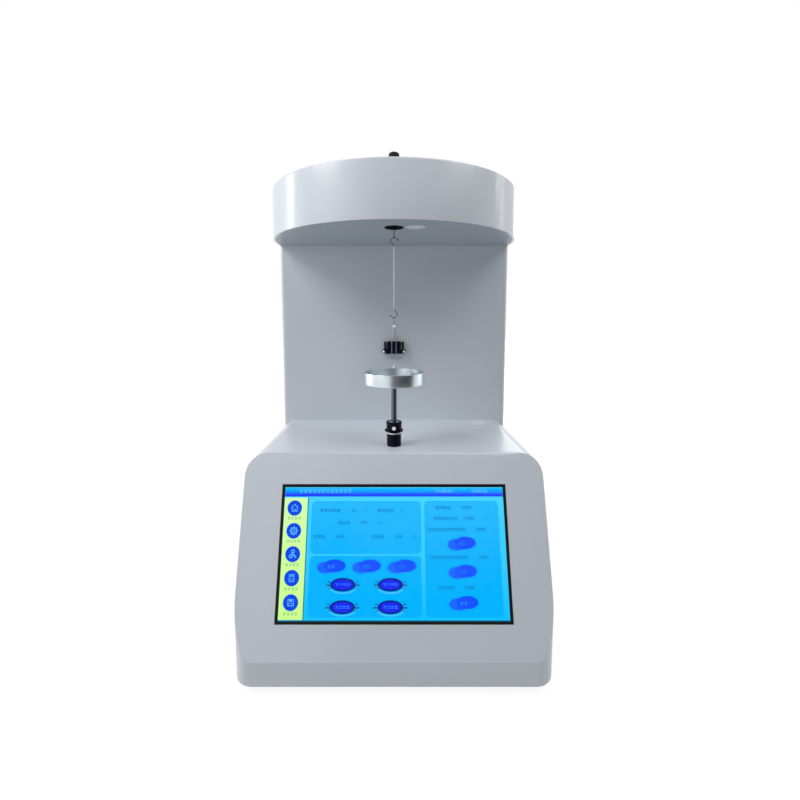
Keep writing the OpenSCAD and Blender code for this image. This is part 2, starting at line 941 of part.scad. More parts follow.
// Ring, two legs with a tie, bead, stem and eye, drawn with the ring at z = 0
module platinum_ring() {
    r = ring_d / 2;
    bead = bead_z - deck_z - ring_z;
    eye = stem_eye_z - deck_z - ring_z;
    shoulder = shoulder_z - deck_z - ring_z;
    leg_x = 0.5;
    leg_top = bead - leg_x;
    color("lightgray") translate([0, hook_y, deck_z + ring_z]) rotate([0, 0, ring_turn]) {
        rotate_extrude($fn = 64) translate([r, 0]) circle(d = ring_wire, $fn = 16);
        for (x = [-1, 1]) {
            translate([x * r, 0, -ring_wire / 5])
                cylinder(d = stirrup_wire, h = shoulder + ring_wire / 5, $fn = 16);
            translate([x * r, 0, shoulder]) sphere(d = stirrup_wire * 1.15, $fn = 24);
            translate([x * leg_x, 0, leg_top])
                rotate([0, x * (90 + atan((leg_top - shoulder) / (r - leg_x))), 0])
                    cylinder(d = stirrup_wire, h = norm([r - leg_x, leg_top - shoulder]), $fn = 16);
        }
        translate([-r, 0, shoulder - 1.3])
            rotate([0, 90, 0]) cylinder(d = tie_wire, h = ring_d, $fn = 16);
        translate([0, 0, bead]) sphere(d = bead_d, $fn = 32);
        rod(stem_d, bead + bead_d / 4, eye - stem_eye_r + stem_wire / 5);
        translate([0, 0, eye])
            rotate([0, 0, -ring_turn]) wire_arc(stem_eye_r, stem_wire, 0, 360);
    }
}

// ---------- stage ----------

module sample_dish() {
    r = dish_d / 2;
    color("silver") translate([0, hook_y, dish_base_z]) difference() {
        rotate_extrude($fn = 128)
            polygon([
                [0, 0],
                [r - 1.2, 0],
                [r, 1.2],
                [r, dish_h - 0.6],
                [r - 0.6, dish_h],
                [r - dish_rim + 0.5, dish_h],
                [r - dish_rim, dish_h - 0.5],
                [r - dish_rim, dish_floor + 1.5],
                [r - dish_rim - 1.5, dish_floor],
                [0, dish_floor]
            ]);
        rod(spigot_d + 2 * running_gap, -1, spigot_h + 0.2);
    }
}

module stage_rod() {
    color("slategray") translate([0, hook_y, 0]) {
        rod(rod_d, carriage_z + 2, dish_base_z);
        rod(spigot_d, dish_base_z - eps, dish_base_z + spigot_h);
    }
}

module stage_collar() {
    r = collar_d / 2;
    color("black") translate([0, hook_y, collar_z]) difference() {
        rotate_extrude()
            polygon([
                [rod_d / 2 + running_gap, 0],
                [flange_d / 2 - 0.3, 0],
                [flange_d / 2, 0.3],
                [flange_d / 2, collar_flange_t - 0.3],
                [flange_d / 2 - 0.3, collar_flange_t],
                [r - 0.3, collar_flange_t],
                [r - 0.3, collar_h - 2.5],
                [r, collar_h - 2.2],
                [r, collar_h - 0.5],
                [r - 0.5, collar_h],
                [insert_d / 2 + running_gap, collar_h],
                [insert_d / 2 + running_gap, collar_h - insert_t],
                [rod_d / 2 + running_gap, collar_h - insert_t]
            ]);
        translate([0, 0, collar_screw_z])
            rotate([90, 0, 0]) cylinder(d = collar_screw_d + 2 * running_gap, h = collar_d);
    }
}

module collar_insert() {
    color("silver") translate([0, hook_y, collar_z + collar_h - insert_t]) difference() {
        rod(insert_d, 0, insert_t - 0.4);
        rod(rod_d + 2 * running_gap, -1, insert_t + 1);
    }
}

module collar_screw() {
    color("white") translate([0, hook_y, collar_z + collar_screw_z])
        rotate([90, 0, 0]) difference() {
            rod(collar_screw_d, rod_d / 2 + 0.1, collar_d / 2 + 0.3);
            translate([0, 0, collar_d / 2 - 0.9]) cylinder(d = 1.8, h = 3, $fn = 6);
        }
}

module guide_sleeve() {
    r = sleeve_d / 2;
    color("black") translate([0, hook_y, 0])
        rotate_extrude()
            polygon([
                [rod_d / 2 + running_gap, deck_z - sleeve_foot_l],
                [sleeve_foot_d / 2, deck_z - sleeve_foot_l],
                [sleeve_foot_d / 2, deck_z],
                [r - 0.4, deck_z],
                [r, deck_z + 0.4],
                [r, deck_z + sleeve_h - 1.2],
                [r - 1.2, deck_z + sleeve_h],
                [rod_d / 2 + running_gap, deck_z + sleeve_h]
            ]);
}

module sleeve_nut() {
    color("silver") translate([0, hook_y, deck_z - base_wall - sleeve_nut_t]) difference() {
        cylinder(d = sleeve_nut_d, h = sleeve_nut_t, $fn = 6);
        rod(sleeve_foot_d + 2 * running_gap, -1, sleeve_nut_t + 1);
    }
}

// ---------- lift ----------

module lift_frame() {
    color("silver") difference() {
        union() {
            block([-frame_half, frame_half], [frame_plate_y, frame_plate_y + frame_t],
                [plate_top, lead_top]);
            block([-frame_half, frame_half], [frame_plate_y, frame_plate_y + frame_foot],
                [plate_top, plate_top + frame_t]);
            block([-frame_half, frame_half], [lift_y - motor_lip, frame_plate_y + eps],
                [motor_flange_z, motor_flange_z + flange_t]);
            block([-frame_half, frame_half], [lift_y - top_lip, frame_plate_y + eps],
                [top_flange_z, lead_top]);
            // ribs that stiffen the back
            for (x = [-1, 1])
                block([x * rib_x - rib_t / 2, x * rib_x + rib_t / 2],
                    [frame_plate_y + frame_t - eps, frame_plate_y + rib_d],
                    [plate_top + frame_t, plate_top + rib_h]);
        }
        for (x = [-1, 1])
            translate([x * guide_x, lift_y, 0])
                rod(guide_d + 2 * running_gap, motor_flange_z - 1, lead_top + 1);
        translate([0, lift_y, 0]) {
            rod(coupling_d - 2, motor_flange_z - 1, motor_flange_z + flange_t + 1);
            rod(bearing_d + 2 * running_gap, lead_top - bearing_t, lead_top + 1);
            rod(lead_d + 3, top_flange_z - 1, lead_top + 1);
        }
    }
}

module guide_rods() {
    color("silver") for (x = [-1, 1])
        translate([x * guide_x, lift_y, 0]) rod(guide_d, motor_flange_z, lead_top);
}

module screw_bearing() {
    color("silver") translate([0, lift_y, 0]) difference() {
        rod(bearing_d, lead_top - bearing_t, lead_top);
        rod(lead_d + 2 * running_gap, lead_top - bearing_t - 1, lead_top + 1);
    }
}

module lift_motor() {
    color("dimgray") translate([0, lift_y, motor_flange_z - motor_h]) difference() {
        linear_extrude(motor_h)
            intersection() {
                square(motor_w, center = true);
                rotate(45) square(motor_w * 1.28, center = true);
            }
        rod(shaft_d + 2 * running_gap, 8, motor_h + 1);
    }
}

module motor_shaft() {
    color("silver") translate([0, lift_y, 0])
        rod(shaft_d, motor_flange_z - motor_h + 8.3, coupling_z + coupling_l / 2 - 0.5);
}

module shaft_coupling() {
    color("lightgray") translate([0, lift_y, coupling_z]) difference() {
        cylinder(d = coupling_d, h = coupling_l);
        rod(shaft_d + 2 * running_gap, -1, coupling_l / 2);
        rod(lead_d + 2 * running_gap, coupling_l / 2, coupling_l + 1);
    }
}

module lead_screw() {
    color("silver") translate([0, lift_y, 0])
        rod(lead_d, coupling_z + coupling_l / 2 + 0.5, lead_top);
}

module lift_carriage() {
    color("steelblue") difference() {
        union() {
            block([-guide_x - carriage_edge, guide_x + carriage_edge],
                [lift_y - carriage_edge, lift_y + carriage_back],
                [carriage_z, carriage_z + carriage_t]);
            block([-carriage_edge, carriage_edge], [hook_y - carriage_edge, lift_y],
                [carriage_z, carriage_z + carriage_t]);
        }
        for (x = [-1, 1])
            translate([x * guide_x, lift_y, 0])
                rod(guide_d + 2 * running_gap, carriage_z - 1, carriage_z + carriage_t + 1);
        translate([0, lift_y, 0])
            rod(nut_body_d + 2 * running_gap, carriage_z - 1, carriage_z + carriage_t + 1);
        translate([0, hook_y, 0])
            rod(rod_d + 2 * running_gap, carriage_z + 2, carriage_z + carriage_t + 1);
    }
}

module lift_nut() {
    color("gold") translate([0, lift_y, 0]) difference() {
        union() {
            rod(nut_flange_d, carriage_z - nut_flange_t, carriage_z);
            rod(nut_body_d, carriage_z - eps, carriage_z + carriage_t);
        }
        rod(lead_d + 2 * running_gap, carriage_z - nut_flange_t - 1,
            carriage_z + carriage_t + 1);
    }
}

// ---------- electronics ----------

// The board stands on posts along the right wall, the supply along the left one
inner_x = base_w / 2 - base_wall;
board_w = 90;
board_l = 145;
board_gap = 7.5;
board_back = 52;
board_rise = 12;
board_x = [inner_x - board_gap - board_w, inner_x - board_gap];
board_y = [panel_y - board_back - board_l, panel_y - board_back];
board_z = plate_top + board_rise;
post_d = 6;
post_in = 5;
supply_w = 88;
supply_l = 135;
supply_h = 42;
supply_gap = 9.5;
supply_back = 47;
supply_x = [-inner_x + supply_gap, -inner_x + supply_gap + supply_w];
supply_y = [panel_y - supply_back - supply_l, panel_y - supply_back];
supply_slot = 4;
supply_slot_in = 10;
supply_slot_pitch = 12;

module board_posts() {
    color("silver") for (x = board_x, y = board_y)
        translate([
            x + (x == board_x[0] ? post_in : -post_in),
            y + (y == board_y[0] ? post_in : -post_in),
            plate_top
        ])
            cylinder(d = post_d, h = board_rise);
}

module controller_board() {
    top = board_z + board_t;
    color("green") {
        block(board_x, board_y, [board_z, top]);
        // screen plug, processor, drive chips with heat sink, capacitors
        block([board_x[0] + 14, board_x[0] + 44], [board_y[0] + 4, board_y[0] + 12],
            [top - eps, top + 8]);
        block([board_x[0] + 30, board_x[0] + 50], [board_y[0] + 80, board_y[0] + 100],
            [top - eps, top + 2]);
        for (i = [0 : 4])
            block([board_x[0] + 60, board_x[0] + 84],
                [board_y[0] + 40 + i * 5, board_y[0] + 42 + i * 5], [top - eps, top + 14]);
        block([board_x[0] + 60, board_x[0] + 84], [board_y[0] + 40, board_y[0] + 62],
            [top - eps, top + 3]);
        for (y = [13, 30])
            translate([board_x[0] + 70, board_y[1] - y, top - eps]) cylinder(d = 13, h = 20);
    }
}

module power_supply() {
    color("silver") difference() {
        block(supply_x, supply_y, [plate_top, plate_top + supply_h]);
        for (i = [0 : 9]) {
            y = supply_y[0] + supply_slot_in + i * supply_slot_pitch;
            block([supply_x[0] + supply_slot_in, supply_x[1] - supply_slot_in],
                [y, y + supply_slot], [plate_top + supply_h - 2, plate_top + supply_h + 1]);
        }
    }
}

// ---------- rear sockets ----------

module mains_inlet() {
    face = panel_y + panel_t + inlet_flange_t;
    color("black") translate([inlet_x, 0, socket_row_z]) difference() {
        union() {
            block([-inlet_w / 2, inlet_w / 2], [face - inlet_body_d, face],
                [-inlet_h / 2, inlet_h / 2]);
            block([-inlet_w / 2 - inlet_flange, inlet_w / 2 + inlet_flange],
                [panel_y + panel_t, face],
                [-inlet_h / 2 - inlet_flange, inlet_h / 2 + inlet_flange]);
        }
        block([-inlet_cavity_w / 2, inlet_cavity_w / 2], [face - inlet_cavity_d, face + 1],
            [inlet_cavity_z - inlet_cavity_h / 2, inlet_cavity_z + inlet_cavity_h / 2]);
        block([-drawer_w / 2 - seam, drawer_w / 2 + seam], [face - drawer_l - 1, face + 1],
            [drawer_z - drawer_h / 2 - seam, drawer_z + drawer_h / 2 + seam]);
    }
}

module inlet_pins() {
    face = panel_y + panel_t + inlet_flange_t;
    color("silver") translate([inlet_x, 0, socket_row_z + inlet_cavity_z])
        for (p = [[-7, -2], [7, -2], [0, 2.5]])
            block([p[0] - 1, p[0] + 1], [face - inlet_cavity_d, face - 5.5],
                [p[1] - 2, p[1] + 2]);
}

module fuse_drawer() {
    face = panel_y + panel_t + inlet_flange_t;
    color("dimgray") translate([inlet_x, 0, socket_row_z + drawer_z]) difference() {
        block([-drawer_w / 2, drawer_w / 2], [face - drawer_l, face],
            [-drawer_h / 2, drawer_h / 2]);
        // finger notch
        block([-5, 5], [face - 1, face + 1], [drawer_h / 2 - 2, drawer_h / 2 + 1]);
    }
}

module switch_frame() {
    inner = rocker_w + 2 * seam;
    outer = inner + 2 * switch_wall;
    face = panel_y + panel_t + inlet_flange_t;
    color("black") translate([switch_x, 0, socket_row_z]) difference() {
        union() {
            block([-outer / 2, outer / 2], [face - switch_depth, face],
                [-rocker_clear - switch_wall, rocker_clear + switch_wall]);
            block([-outer / 2 - 2, outer / 2 + 2], [panel_y + panel_t, face],
                [-rocker_clear - switch_wall - 2, rocker_clear + switch_wall + 2]);
        }
        block([-inner / 2, inner / 2], [face - switch_depth + 2, face + 1],
            [-rocker_clear, rocker_clear]);
        translate([0, rocker_y, 0])
            rotate([0, 90, 0])
                cylinder(d = rocker_axle_d + 2 * running_gap, h = outer + 2, center = true);
    }
}

module power_rocker() {
    color("firebrick") translate([switch_x, rocker_y, socket_row_z])
        rotate([-rocker_tilt, 0, 0]) {
            rotate([90, 0, 90])
                translate([0, 0, -rocker_w / 2])
                    linear_extrude(rocker_w)
                        polygon([
                            [-3, -4],
                            [2, -rocker_half],
                            [6, -rocker_half],
                            [4, 0],
                            [6, rocker_half],
                            [2, rocker_half],
                            [-3, 4]
                        ]);
            rotate([0, 90, 0])
                cylinder(d = rocker_axle_d, h = rocker_w + 2 * switch_wall, center = true);
        }
}

// Outline of a nine-way D-shaped socket
module d_outline(w, h) {
    polygon([
        [-w / 2, h / 2],
        [w / 2, h / 2],
        [w / 2 - 1.4, -h / 2],
        [-w / 2 + 1.4, -h / 2]
    ]);
}

module serial_socket() {
    face = panel_y + panel_t;
    color("silver") translate([serial_x, 0, socket_row_z]) difference() {
        union() {
            block([-9.5, 9.5], [face - 10, face], [-5.5, 5.5]);
            block([-15.4, 15.4], [face, face + 1], [-6.2, 6.2]);
            sweep_y(face + 1 - eps, face + 4) d_outline(16.9, 8.4);
        }
        for (i = [0 : 4])
            translate([(i - 2) * 2.75, face, 1.4])
                rotate([-90, 0, 0]) cylinder(d = 1.1, h = 6);
        for (i = [0 : 3])
            translate([(i - 1.5) * 2.75, face, -1.4])
                rotate([-90, 0, 0]) cylinder(d = 1.1, h = 6);
    }
}

// ---------- small parts on the deck and the column ----------

module bubble_body() {
    color("whitesmoke") translate([bubble_x, column_y - bubble_gap, 0]) difference() {
        union() {
            rod(bubble_d - 3, deck_z - 9, deck_z + eps);
            rod(bubble_d, deck_z, deck_z + 1);
        }
        rod(bubble_d - 5.5, deck_z - 7.5, deck_z + 2);
    }
}

module bubble_vial() {
    color("honeydew") translate([bubble_x, column_y - bubble_gap, 0])
        rod(bubble_d - 5.5 - 2 * seam, deck_z - 7.5, deck_z + 0.8);
}

// Sensor socket on the column's face: block, wide foot and two guide arms
module probe_socket() {
    foot_w = socket_w;
    z0 = deck_z + socket_z;
    color("black") difference() {
        union() {
            block([-socket_block_w / 2, socket_block_w / 2],
                [column_y - socket_block_y, column_y], [z0, z0 + socket_block_h]);
            block([-foot_w / 2 + 2.5, foot_w / 2 - 2.5],
                [column_y - socket_foot_y, column_y], [z0, z0 + socket_foot_h]);
            for (x = [-1, 1]) {
                translate([x * socket_screw_x, column_y, z0 + socket_foot_h / 2])
                    rotate([90, 0, 0])
                        cylinder(d = socket_foot_h, h = socket_foot_y - 1);
                block([x * socket_arm_x - socket_arm_w / 2, x * socket_arm_x + socket_arm_w / 2],
                    [column_y - socket_foot_y, column_y],
                    [z0 + socket_foot_h - eps, z0 + socket_block_h - 0.4]);
            }
        }
        // mouth of the socket, from above
        block([-socket_block_w / 2 + 2.5, socket_block_w / 2 - 2.5],
            [column_y - socket_block_y + 2, column_y - 2.5],
            [z0 + 6, z0 + socket_block_h + 1]);
        for (x = [-1, 1])
            translate([x * socket_screw_x, column_y - socket_foot_y - 1, z0 + socket_foot_h / 2])
                rotate([-90, 0, 0])
                    cylinder(d = socket_screw_d + 2 * running_gap, h = 5);
    }
}

module probe_screws() {
    z0 = deck_z + socket_z;
    color("white") for (x = [-1, 1])
        translate([x * socket_screw_x, column_y - socket_foot_y + 4, z0 + socket_foot_h / 2])
            rotate([90, 0, 0]) {
                cylinder(d = socket_screw_d, h = 3);
                translate([0, 0, 2.4]) sphere(d = socket_screw_d - 0.2, $fn = 32);
            }
}

// A turned hook with a pointed end, for parking the ring
module park_hook() {
    tip_y = column_y - peg_reach;
    color("white") {
        translate([0, column_y, peg_z])
            rotate([90, 0, 0]) cylinder(d = peg_d, h = peg_reach);
        translate([0, tip_y, peg_z]) {
            sphere(d = peg_d, $fn = 32);
            cylinder(d = peg_d, h = peg_tip - 5);
            translate([0, 0, peg_tip - 5 - eps]) cylinder(d1 = peg_d, d2 = 0.6, h = 5);
        }
        translate([0, column_y, peg_z]) rotate([90, 0, 0]) cylinder(d = peg_d + 3, h = 1.2);
    }
}

base_shell();
base_plate();
foot_nuts();
rear_panel();
column_shell();
column_cover();
head_shell();
head_plate();
head_cover();
case_screws();
screen_bezel();
lcd_panel();
touch_glass();
bubble_body();
bubble_vial();
probe_socket();
probe_screws();
park_hook();
hook_bushing();
lamp_lens();
lamp_board();
knob_bush();
balance_bracket();
magnet_pot();
guide_sleeve();
sleeve_nut();
lift_frame();
guide_rods();
lift_motor();
screw_bearing();
controller_board();
board_posts();
power_supply();
mains_inlet();
inlet_pins();
switch_frame();
serial_socket();
stage_rod();
stage_collar();
collar_insert();
collar_screw();
lift_carriage();
lift_nut();
sample_dish();
lead_screw();
shaft_coupling();
motor_shaft();
coil_hanger();
force_coil();
balance_hook();
suspension_wire();
platinum_ring();
lock_knob();
lock_pin();
foot_front_left();
foot_front_right();
foot_rear_left();
foot_rear_right();
power_rocker();
fuse_drawer();
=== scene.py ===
"""Looks of an automatic ring-method surface tensiometer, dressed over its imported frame.

Metres, +Z up, +Y to the back. Classes for shaders, finishes and meshes come first.
Then each class stands for one sub-assembly: its fields are its sizes, and its build
method makes its pieces and dresses its nodes.
"""

import json
import logging
import math
from dataclasses import dataclass, field
from enum import Enum
from typing import Callable, Protocol

import bmesh
import bpy
from bmesh.types import BMEdge, BMesh, BMVert
from mathutils import Matrix, Vector


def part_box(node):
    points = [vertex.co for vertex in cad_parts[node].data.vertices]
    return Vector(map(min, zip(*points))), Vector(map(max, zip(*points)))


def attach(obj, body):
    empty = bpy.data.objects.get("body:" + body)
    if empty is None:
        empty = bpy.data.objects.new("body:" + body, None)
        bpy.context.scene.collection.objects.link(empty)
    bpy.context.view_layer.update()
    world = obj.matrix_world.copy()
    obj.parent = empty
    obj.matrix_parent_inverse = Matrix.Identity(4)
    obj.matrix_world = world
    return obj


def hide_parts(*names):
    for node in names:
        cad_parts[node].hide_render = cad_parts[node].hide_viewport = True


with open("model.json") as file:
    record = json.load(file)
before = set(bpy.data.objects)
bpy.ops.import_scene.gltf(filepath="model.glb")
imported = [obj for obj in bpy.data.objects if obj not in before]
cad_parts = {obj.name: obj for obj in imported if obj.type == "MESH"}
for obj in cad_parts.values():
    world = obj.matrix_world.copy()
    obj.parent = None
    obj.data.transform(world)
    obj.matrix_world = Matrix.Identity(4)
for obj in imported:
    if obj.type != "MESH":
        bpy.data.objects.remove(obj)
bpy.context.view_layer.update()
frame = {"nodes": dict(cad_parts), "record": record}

log = logging.getLogger("tensiometer")
MM = 0.001
UPRIGHT = math.pi / 2
Pair = tuple[float, float]
Triple = tuple[float, float, float]
Term = "Sock | float | tuple[float, ...]"
Outline = list[Pair]


# ---- shader maths ----


def operator(operation: str, reflected: bool = False) -> Callable[["Sock", Term], "Sock"]:
    """The method of one arithmetic operator.

    Args:
        operation: the Math node's operation.
        reflected: whether the socket is the operator's second term.

    Returns:
        A method that adds the Math node.
    """

    def method(self: "Sock", other: Term) -> "Sock":
        """Adds the Math node for the socket and the other term."""
        return self.math(operation, other, self) if reflected else self.math(operation, self, other)

    return method


class Sock:
    """An output socket of a shader node, whose arithmetic adds Math nodes."""

    __add__, __radd__ = operator("ADD"), operator("ADD", True)
    __sub__, __rsub__ = operator("SUBTRACT"), operator("SUBTRACT", True)
    __mul__, __rmul__ = operator("MULTIPLY"), operator("MULTIPLY", True)
    __truediv__ = operator("DIVIDE")

    def __init__(self, shader: "Shader", socket: bpy.types.NodeSocket) -> None:
        """Keeps the socket and the shader that it belongs to."""
        self.shader = shader
        self.socket = socket

    def math(self, operation: str, first: Term, second: Term = 0.0) -> "Sock":
        """Adds one Math node with the two terms."""
        return self.shader.node("Math", {"operation": operation}, {0: first, 1: second})

    def over(self, limit: Term) -> "Sock":
        """One where the value is above the limit, zero elsewhere."""
        return self.math("GREATER_THAN", self, limit)

    def apply(self, operation: str) -> "Sock":
        """The value after a Math operation with one term, such as SQRT or FRACT."""
        return self.math(operation, self)


class Shader:
    """The node tree of one material, or of the world, under construction."""

    def __init__(self, name: str, world: bpy.types.World | None = None) -> None:
        """Empties the world's tree, or that of a new material of that name."""
        self.owner = world or bpy.data.materials.new(name)
        self.owner.use_nodes = True
        self.tree = self.owner.node_tree
        self.tree.nodes.clear()

    def node(
        self,
        kind: str,
        settings: dict[str, object] | None = None,
        inputs: dict[int | str, Term] | None = None,
        out: int | str = 0,
    ) -> Sock:
        """Adds any node.

        Args:
            kind: the node's type name after "ShaderNode".
            settings: its properties, set before its sockets.
            inputs: a value or a Sock for each named or numbered input.
            out: which output to hand back.

        Returns:
            The chosen output.
        """
        made = self.tree.nodes.new(f"ShaderNode{kind}")
        for name, value in (settings or {}).items():
            setattr(made, name, value)
        for key, value in (inputs or {}).items():
            socket = made.inputs[key]
            if isinstance(value, Sock):
                self.tree.links.new(value.socket, socket)
            elif socket.type == "RGBA":
                socket.default_value = (*value[:3], 1.0)
            else:
                socket.default_value = value
        return Sock(self, made.outputs[out] if made.outputs else None)

    def place(self, centre: Triple = (0, 0, 0)) -> Sock:
        """Object coordinates measured from a centre."""
        here = self.node("TexCoord", out="Object")
        return self.node("VectorMath", {"operation": "SUBTRACT"}, {0: here, 1: centre})

    def split(self, vector: Sock) -> tuple[Sock, Sock, Sock]:
        """The three parts of a vector."""
        made = self.node("SeparateXYZ", inputs={0: vector}).socket.node
        return tuple(Sock(self, made.outputs[i]) for i in range(3))

    def join(self, x: Term, y: Term, z: Term) -> Sock:
        """A vector of three values."""
        return self.node("CombineXYZ", inputs={0: x, 1: y, 2: z})

    def noise(self, where: Sock, scale: float, detail: float = 2.0) -> Sock:
        """Smooth noise from 0 to 1 over a place."""
        return self.node(
            "TexNoise", inputs={"Vector": where, "Scale": scale, "Detail": detail}
        )

    def mix(self, mask: Term, low: Term, high: Term) -> Sock:
        """A colour between two colours, by a mask from 0 to 1."""
        kind = {"data_type": "RGBA", "clamp_factor": True}
        return self.node("Mix", kind, {0: mask, 6: low, 7: high}, 2)

    def bump(self, height: Sock, depth: float, strength: float = 1.0) -> Sock:
        """A normal from a height of 0 to 1 over that depth in metres."""
        sockets = {"Height": height, "Distance": depth, "Strength": strength}
        return self.node("Bump", inputs=sockets)

    def surface(self, **sockets: Term) -> bpy.types.Material:
        """Ends the tree in a Principled shader.

        Args:
            sockets: its inputs, with underscores for the spaces in their names.

        Returns:
            The finished material.
        """
        named = {name.replace("_", " "): value for name, value in sockets.items()}
        return self.end(self.node("BsdfPrincipled", inputs=named))

    def end(self, shader: Sock) -> bpy.types.Material:
        """Joins a shader to the output and hands back the material."""
        self.node("OutputMaterial", inputs={"Surface": shader})
        return self.owner


def shade(colour: Triple, by: float) -> Triple:
    """The colour made lighter or darker by a factor."""
    return tuple(min(1.0, part * by) for part in colour)


# ---- finishes ----


class Grain(Enum):
    """Which way the marks of machining run."""

    RINGS = "rings round an upright axis"
    UP = "lines up the piece"
    ACROSS = "lines across the piece"
    CAST = "no lines"


class Finish(Protocol):
    """Anything that can make its own material."""

    def dress(self, name: str) -> bpy.types.Material:
        """Makes the material under that name."""


@dataclass(frozen=True)
class Paint:
    """Satin paint, sprayed and stoved, with a faint orange peel."""

    colour: Triple
    rough: float = 0.38
    peel: float = 0.35
    lacquer: float = 0.0

    def dress(self, name: str) -> bpy.types.Material:
        """Makes the paint, a little uneven in tone, gloss and level."""
        shader = Shader(name)
        where = shader.place()
        broad = shader.noise(where, 7.0)
        peel = shader.noise(where, 420.0, 1.0)
        dust = shader.noise(where, 2400.0, 0.0)
        tone = shader.mix(broad, shade(self.colour, 0.97), shade(self.colour, 1.02))
        return shader.surface(
            Base_Color=shader.mix(dust.over(0.74), tone, shade(self.colour, 0.93)),
            Roughness=self.rough + (peel - 0.5) * 0.12,
            Normal=shader.bump(peel * 0.8 + dust * 0.2, 0.00006, self.peel),
            Coat_Weight=self.lacquer,
            Coat_Roughness=0.17,
        )


@dataclass(frozen=True)
class Metal:
    """Bare or plated metal with the marks of the tool."""

    colour: Triple
    rough: float = 0.3
    grain: Grain = Grain.CAST
    centre: Pair = (0.0, 0.0)
    depth: float = 0.00001

    def dress(self, name: str) -> bpy.types.Material:
        """Makes the metal with its grain in tone, gloss and level."""
        shader = Shader(name)
        where = shader.place((*self.centre, 0.0))
        x, y, z = shader.split(where)
        if self.grain is Grain.RINGS:
            radius = (x * x + y * y).apply("SQRT")
            path = shader.join(radius, z, 0.0)
        elif self.grain is Grain.UP:
            path = shader.join(x, y, z * 0.03)
        elif self.grain is Grain.ACROSS:
            path = shader.join(x * 0.03, y, z)
        else:
            path = where
        coarse = shader.noise(path, 900.0, 3.0)
        fine = shader.noise(path, 5200.0, 1.0)
        marks = coarse * 0.6 + fine * 0.4
        stain = shader.noise(where, 60.0, 3.0)
        tone = shader.mix(marks, shade(self.colour, 0.86), shade(self.colour, 1.08))
        return shader.surface(
            Base_Color=shader.mix(stain, tone, shade(self.colour, 0.97)),
            Metallic=1.0,
            Roughness=self.rough + (marks - 0.5) * 0.22 + (stain - 0.5) * 0.05,
            Normal=shader.bump(marks, self.depth, 0.6),
        )


@dataclass(frozen=True)
class Plastic:
    """Moulded, lacquered or anodised surface with a fine even texture."""

    colour: Triple
    rough: float = 0.4
    texture: float = 1800.0
    depth: float = 0.00001
    coat: float = 0.0
    shine: float = 0.5

    def dress(self, name: str) -> bpy.types.Material:
        """Makes the surface with its texture and a few lighter scuffs."""
        shader = Shader(name)
        where = shader.place()
        fine = shader.noise(where, self.texture, 2.0)
        scuff = shader.noise(where, 160.0, 4.0)
        tone = shader.mix(fine, shade(self.colour, 0.88), shade(self.colour, 1.1))
        return shader.surface(
            Base_Color=shader.mix((scuff - 0.62) * 4.0, tone, shade(self.colour, 1.25)),
            Roughness=self.rough + (scuff - 0.5) * 0.16 + (fine - 0.5) * 0.06,
            Normal=shader.bump(fine, self.depth, 0.5),
            Specular_IOR_Level=self.shine,
            Coat_Weight=self.coat,
        )


@dataclass(frozen=True)
class HookWire:
    """Drawn wire, bright along its length, with a painted dark reflection on its two bent ends."""

    colour: Triple
    # Painted dark reflection on the bent ends, standing in for the dark surroundings that their facets
    # mirror
    ends: Triple
    low: float
    high: float

    def dress(self, name: str) -> bpy.types.Material:
        """Makes the wire, bright only between its two heights, with a painted dark reflection outside them.
        """
        shader = Shader(name)
        where = shader.place()
        x, y, z = shader.split(where)
        marks = shader.noise(shader.join(x, y, z * 0.03), 2600.0, 2.0)
        # Outside the span between low and high the colour becomes the painted dark reflection
        span_without_painted_shade = (z - self.low).over(0.0) * (self.high - z).over(0.0)
        tone = shader.mix(marks, shade(self.colour, 0.85), shade(self.colour, 1.1))
        return shader.surface(
            Base_Color=shader.mix(span_without_painted_shade, self.ends, tone),
            Metallic=1.0,
            Roughness=0.34 + (marks - 0.5) * 0.2,
            Normal=shader.bump(marks, 0.00001, 0.4),
        )


@dataclass(frozen=True)
class ClearPart:
    """Glass or acrylic with faint wipe marks."""

    colour: Triple
    rough: float = 0.008
    index: float = 1.49

    def dress(self, name: str) -> bpy.types.Material:
        """Makes the clear surface."""
        shader = Shader(name)
        wipe = shader.noise(shader.place(), 40.0, 4.0)
        return shader.surface(
            Base_Color=self.colour,
            Roughness=self.rough * (wipe + 0.5),
            IOR=self.index,
            Transmission_Weight=1.0,
        )


@dataclass(frozen=True)
class Lit:
    """A lit area of the display, with its fine raster of picture points."""

    colour: Triple
    other: Triple | None = None
    strength: float = 1.1
    low: float = 0.0
    high: float = 1.0

    def dress(self, name: str) -> bpy.types.Material:
        """Makes the glow, from one colour below to the other above, across the given heights."""
        shader = Shader(name)
        x, _, z = shader.split(shader.place())
        raster = (x * 5900.0).apply("FRACT").over(0.9)
        climb = (z - self.low) / (self.high - self.low)
        tone = shader.mix(climb, self.colour, self.other or shade(self.colour, 1.08))
        return shader.surface(
            Base_Color=(0.001, 0.001, 0.001),
            Roughness=0.5 + raster * 0.1,
            Specular_IOR_Level=0.0,
            Emission_Color=shader.mix(raster * 0.25, tone, (0.0, 0.0, 0.0)),
            Emission_Strength=self.strength,
        )


# ---- meshes ----

# Points nearer than this become one: in a piece made here, and in a CAD node's mesh
WELD, CAD_WELD = 1e-7, 1e-6
# Faces of a CAD node that turn by less than this are one flat face
FLAT = math.radians(0.4)


def spin_full(bm: BMesh, geom: list[BMVert | BMEdge], axis: Pair, steps: int) -> None:
    """Spins an outline a whole turn about an upright axis, and faces the result outwards."""
    bmesh.ops.spin(
        bm, geom=geom, cent=(*axis, 0), axis=(0, 0, 1), angle=math.tau, steps=steps,
        use_merge=True, use_duplicate=False,
    )
    bmesh.ops.remove_doubles(bm, verts=bm.verts, dist=WELD)
    bmesh.ops.recalc_face_normals(bm, faces=bm.faces)


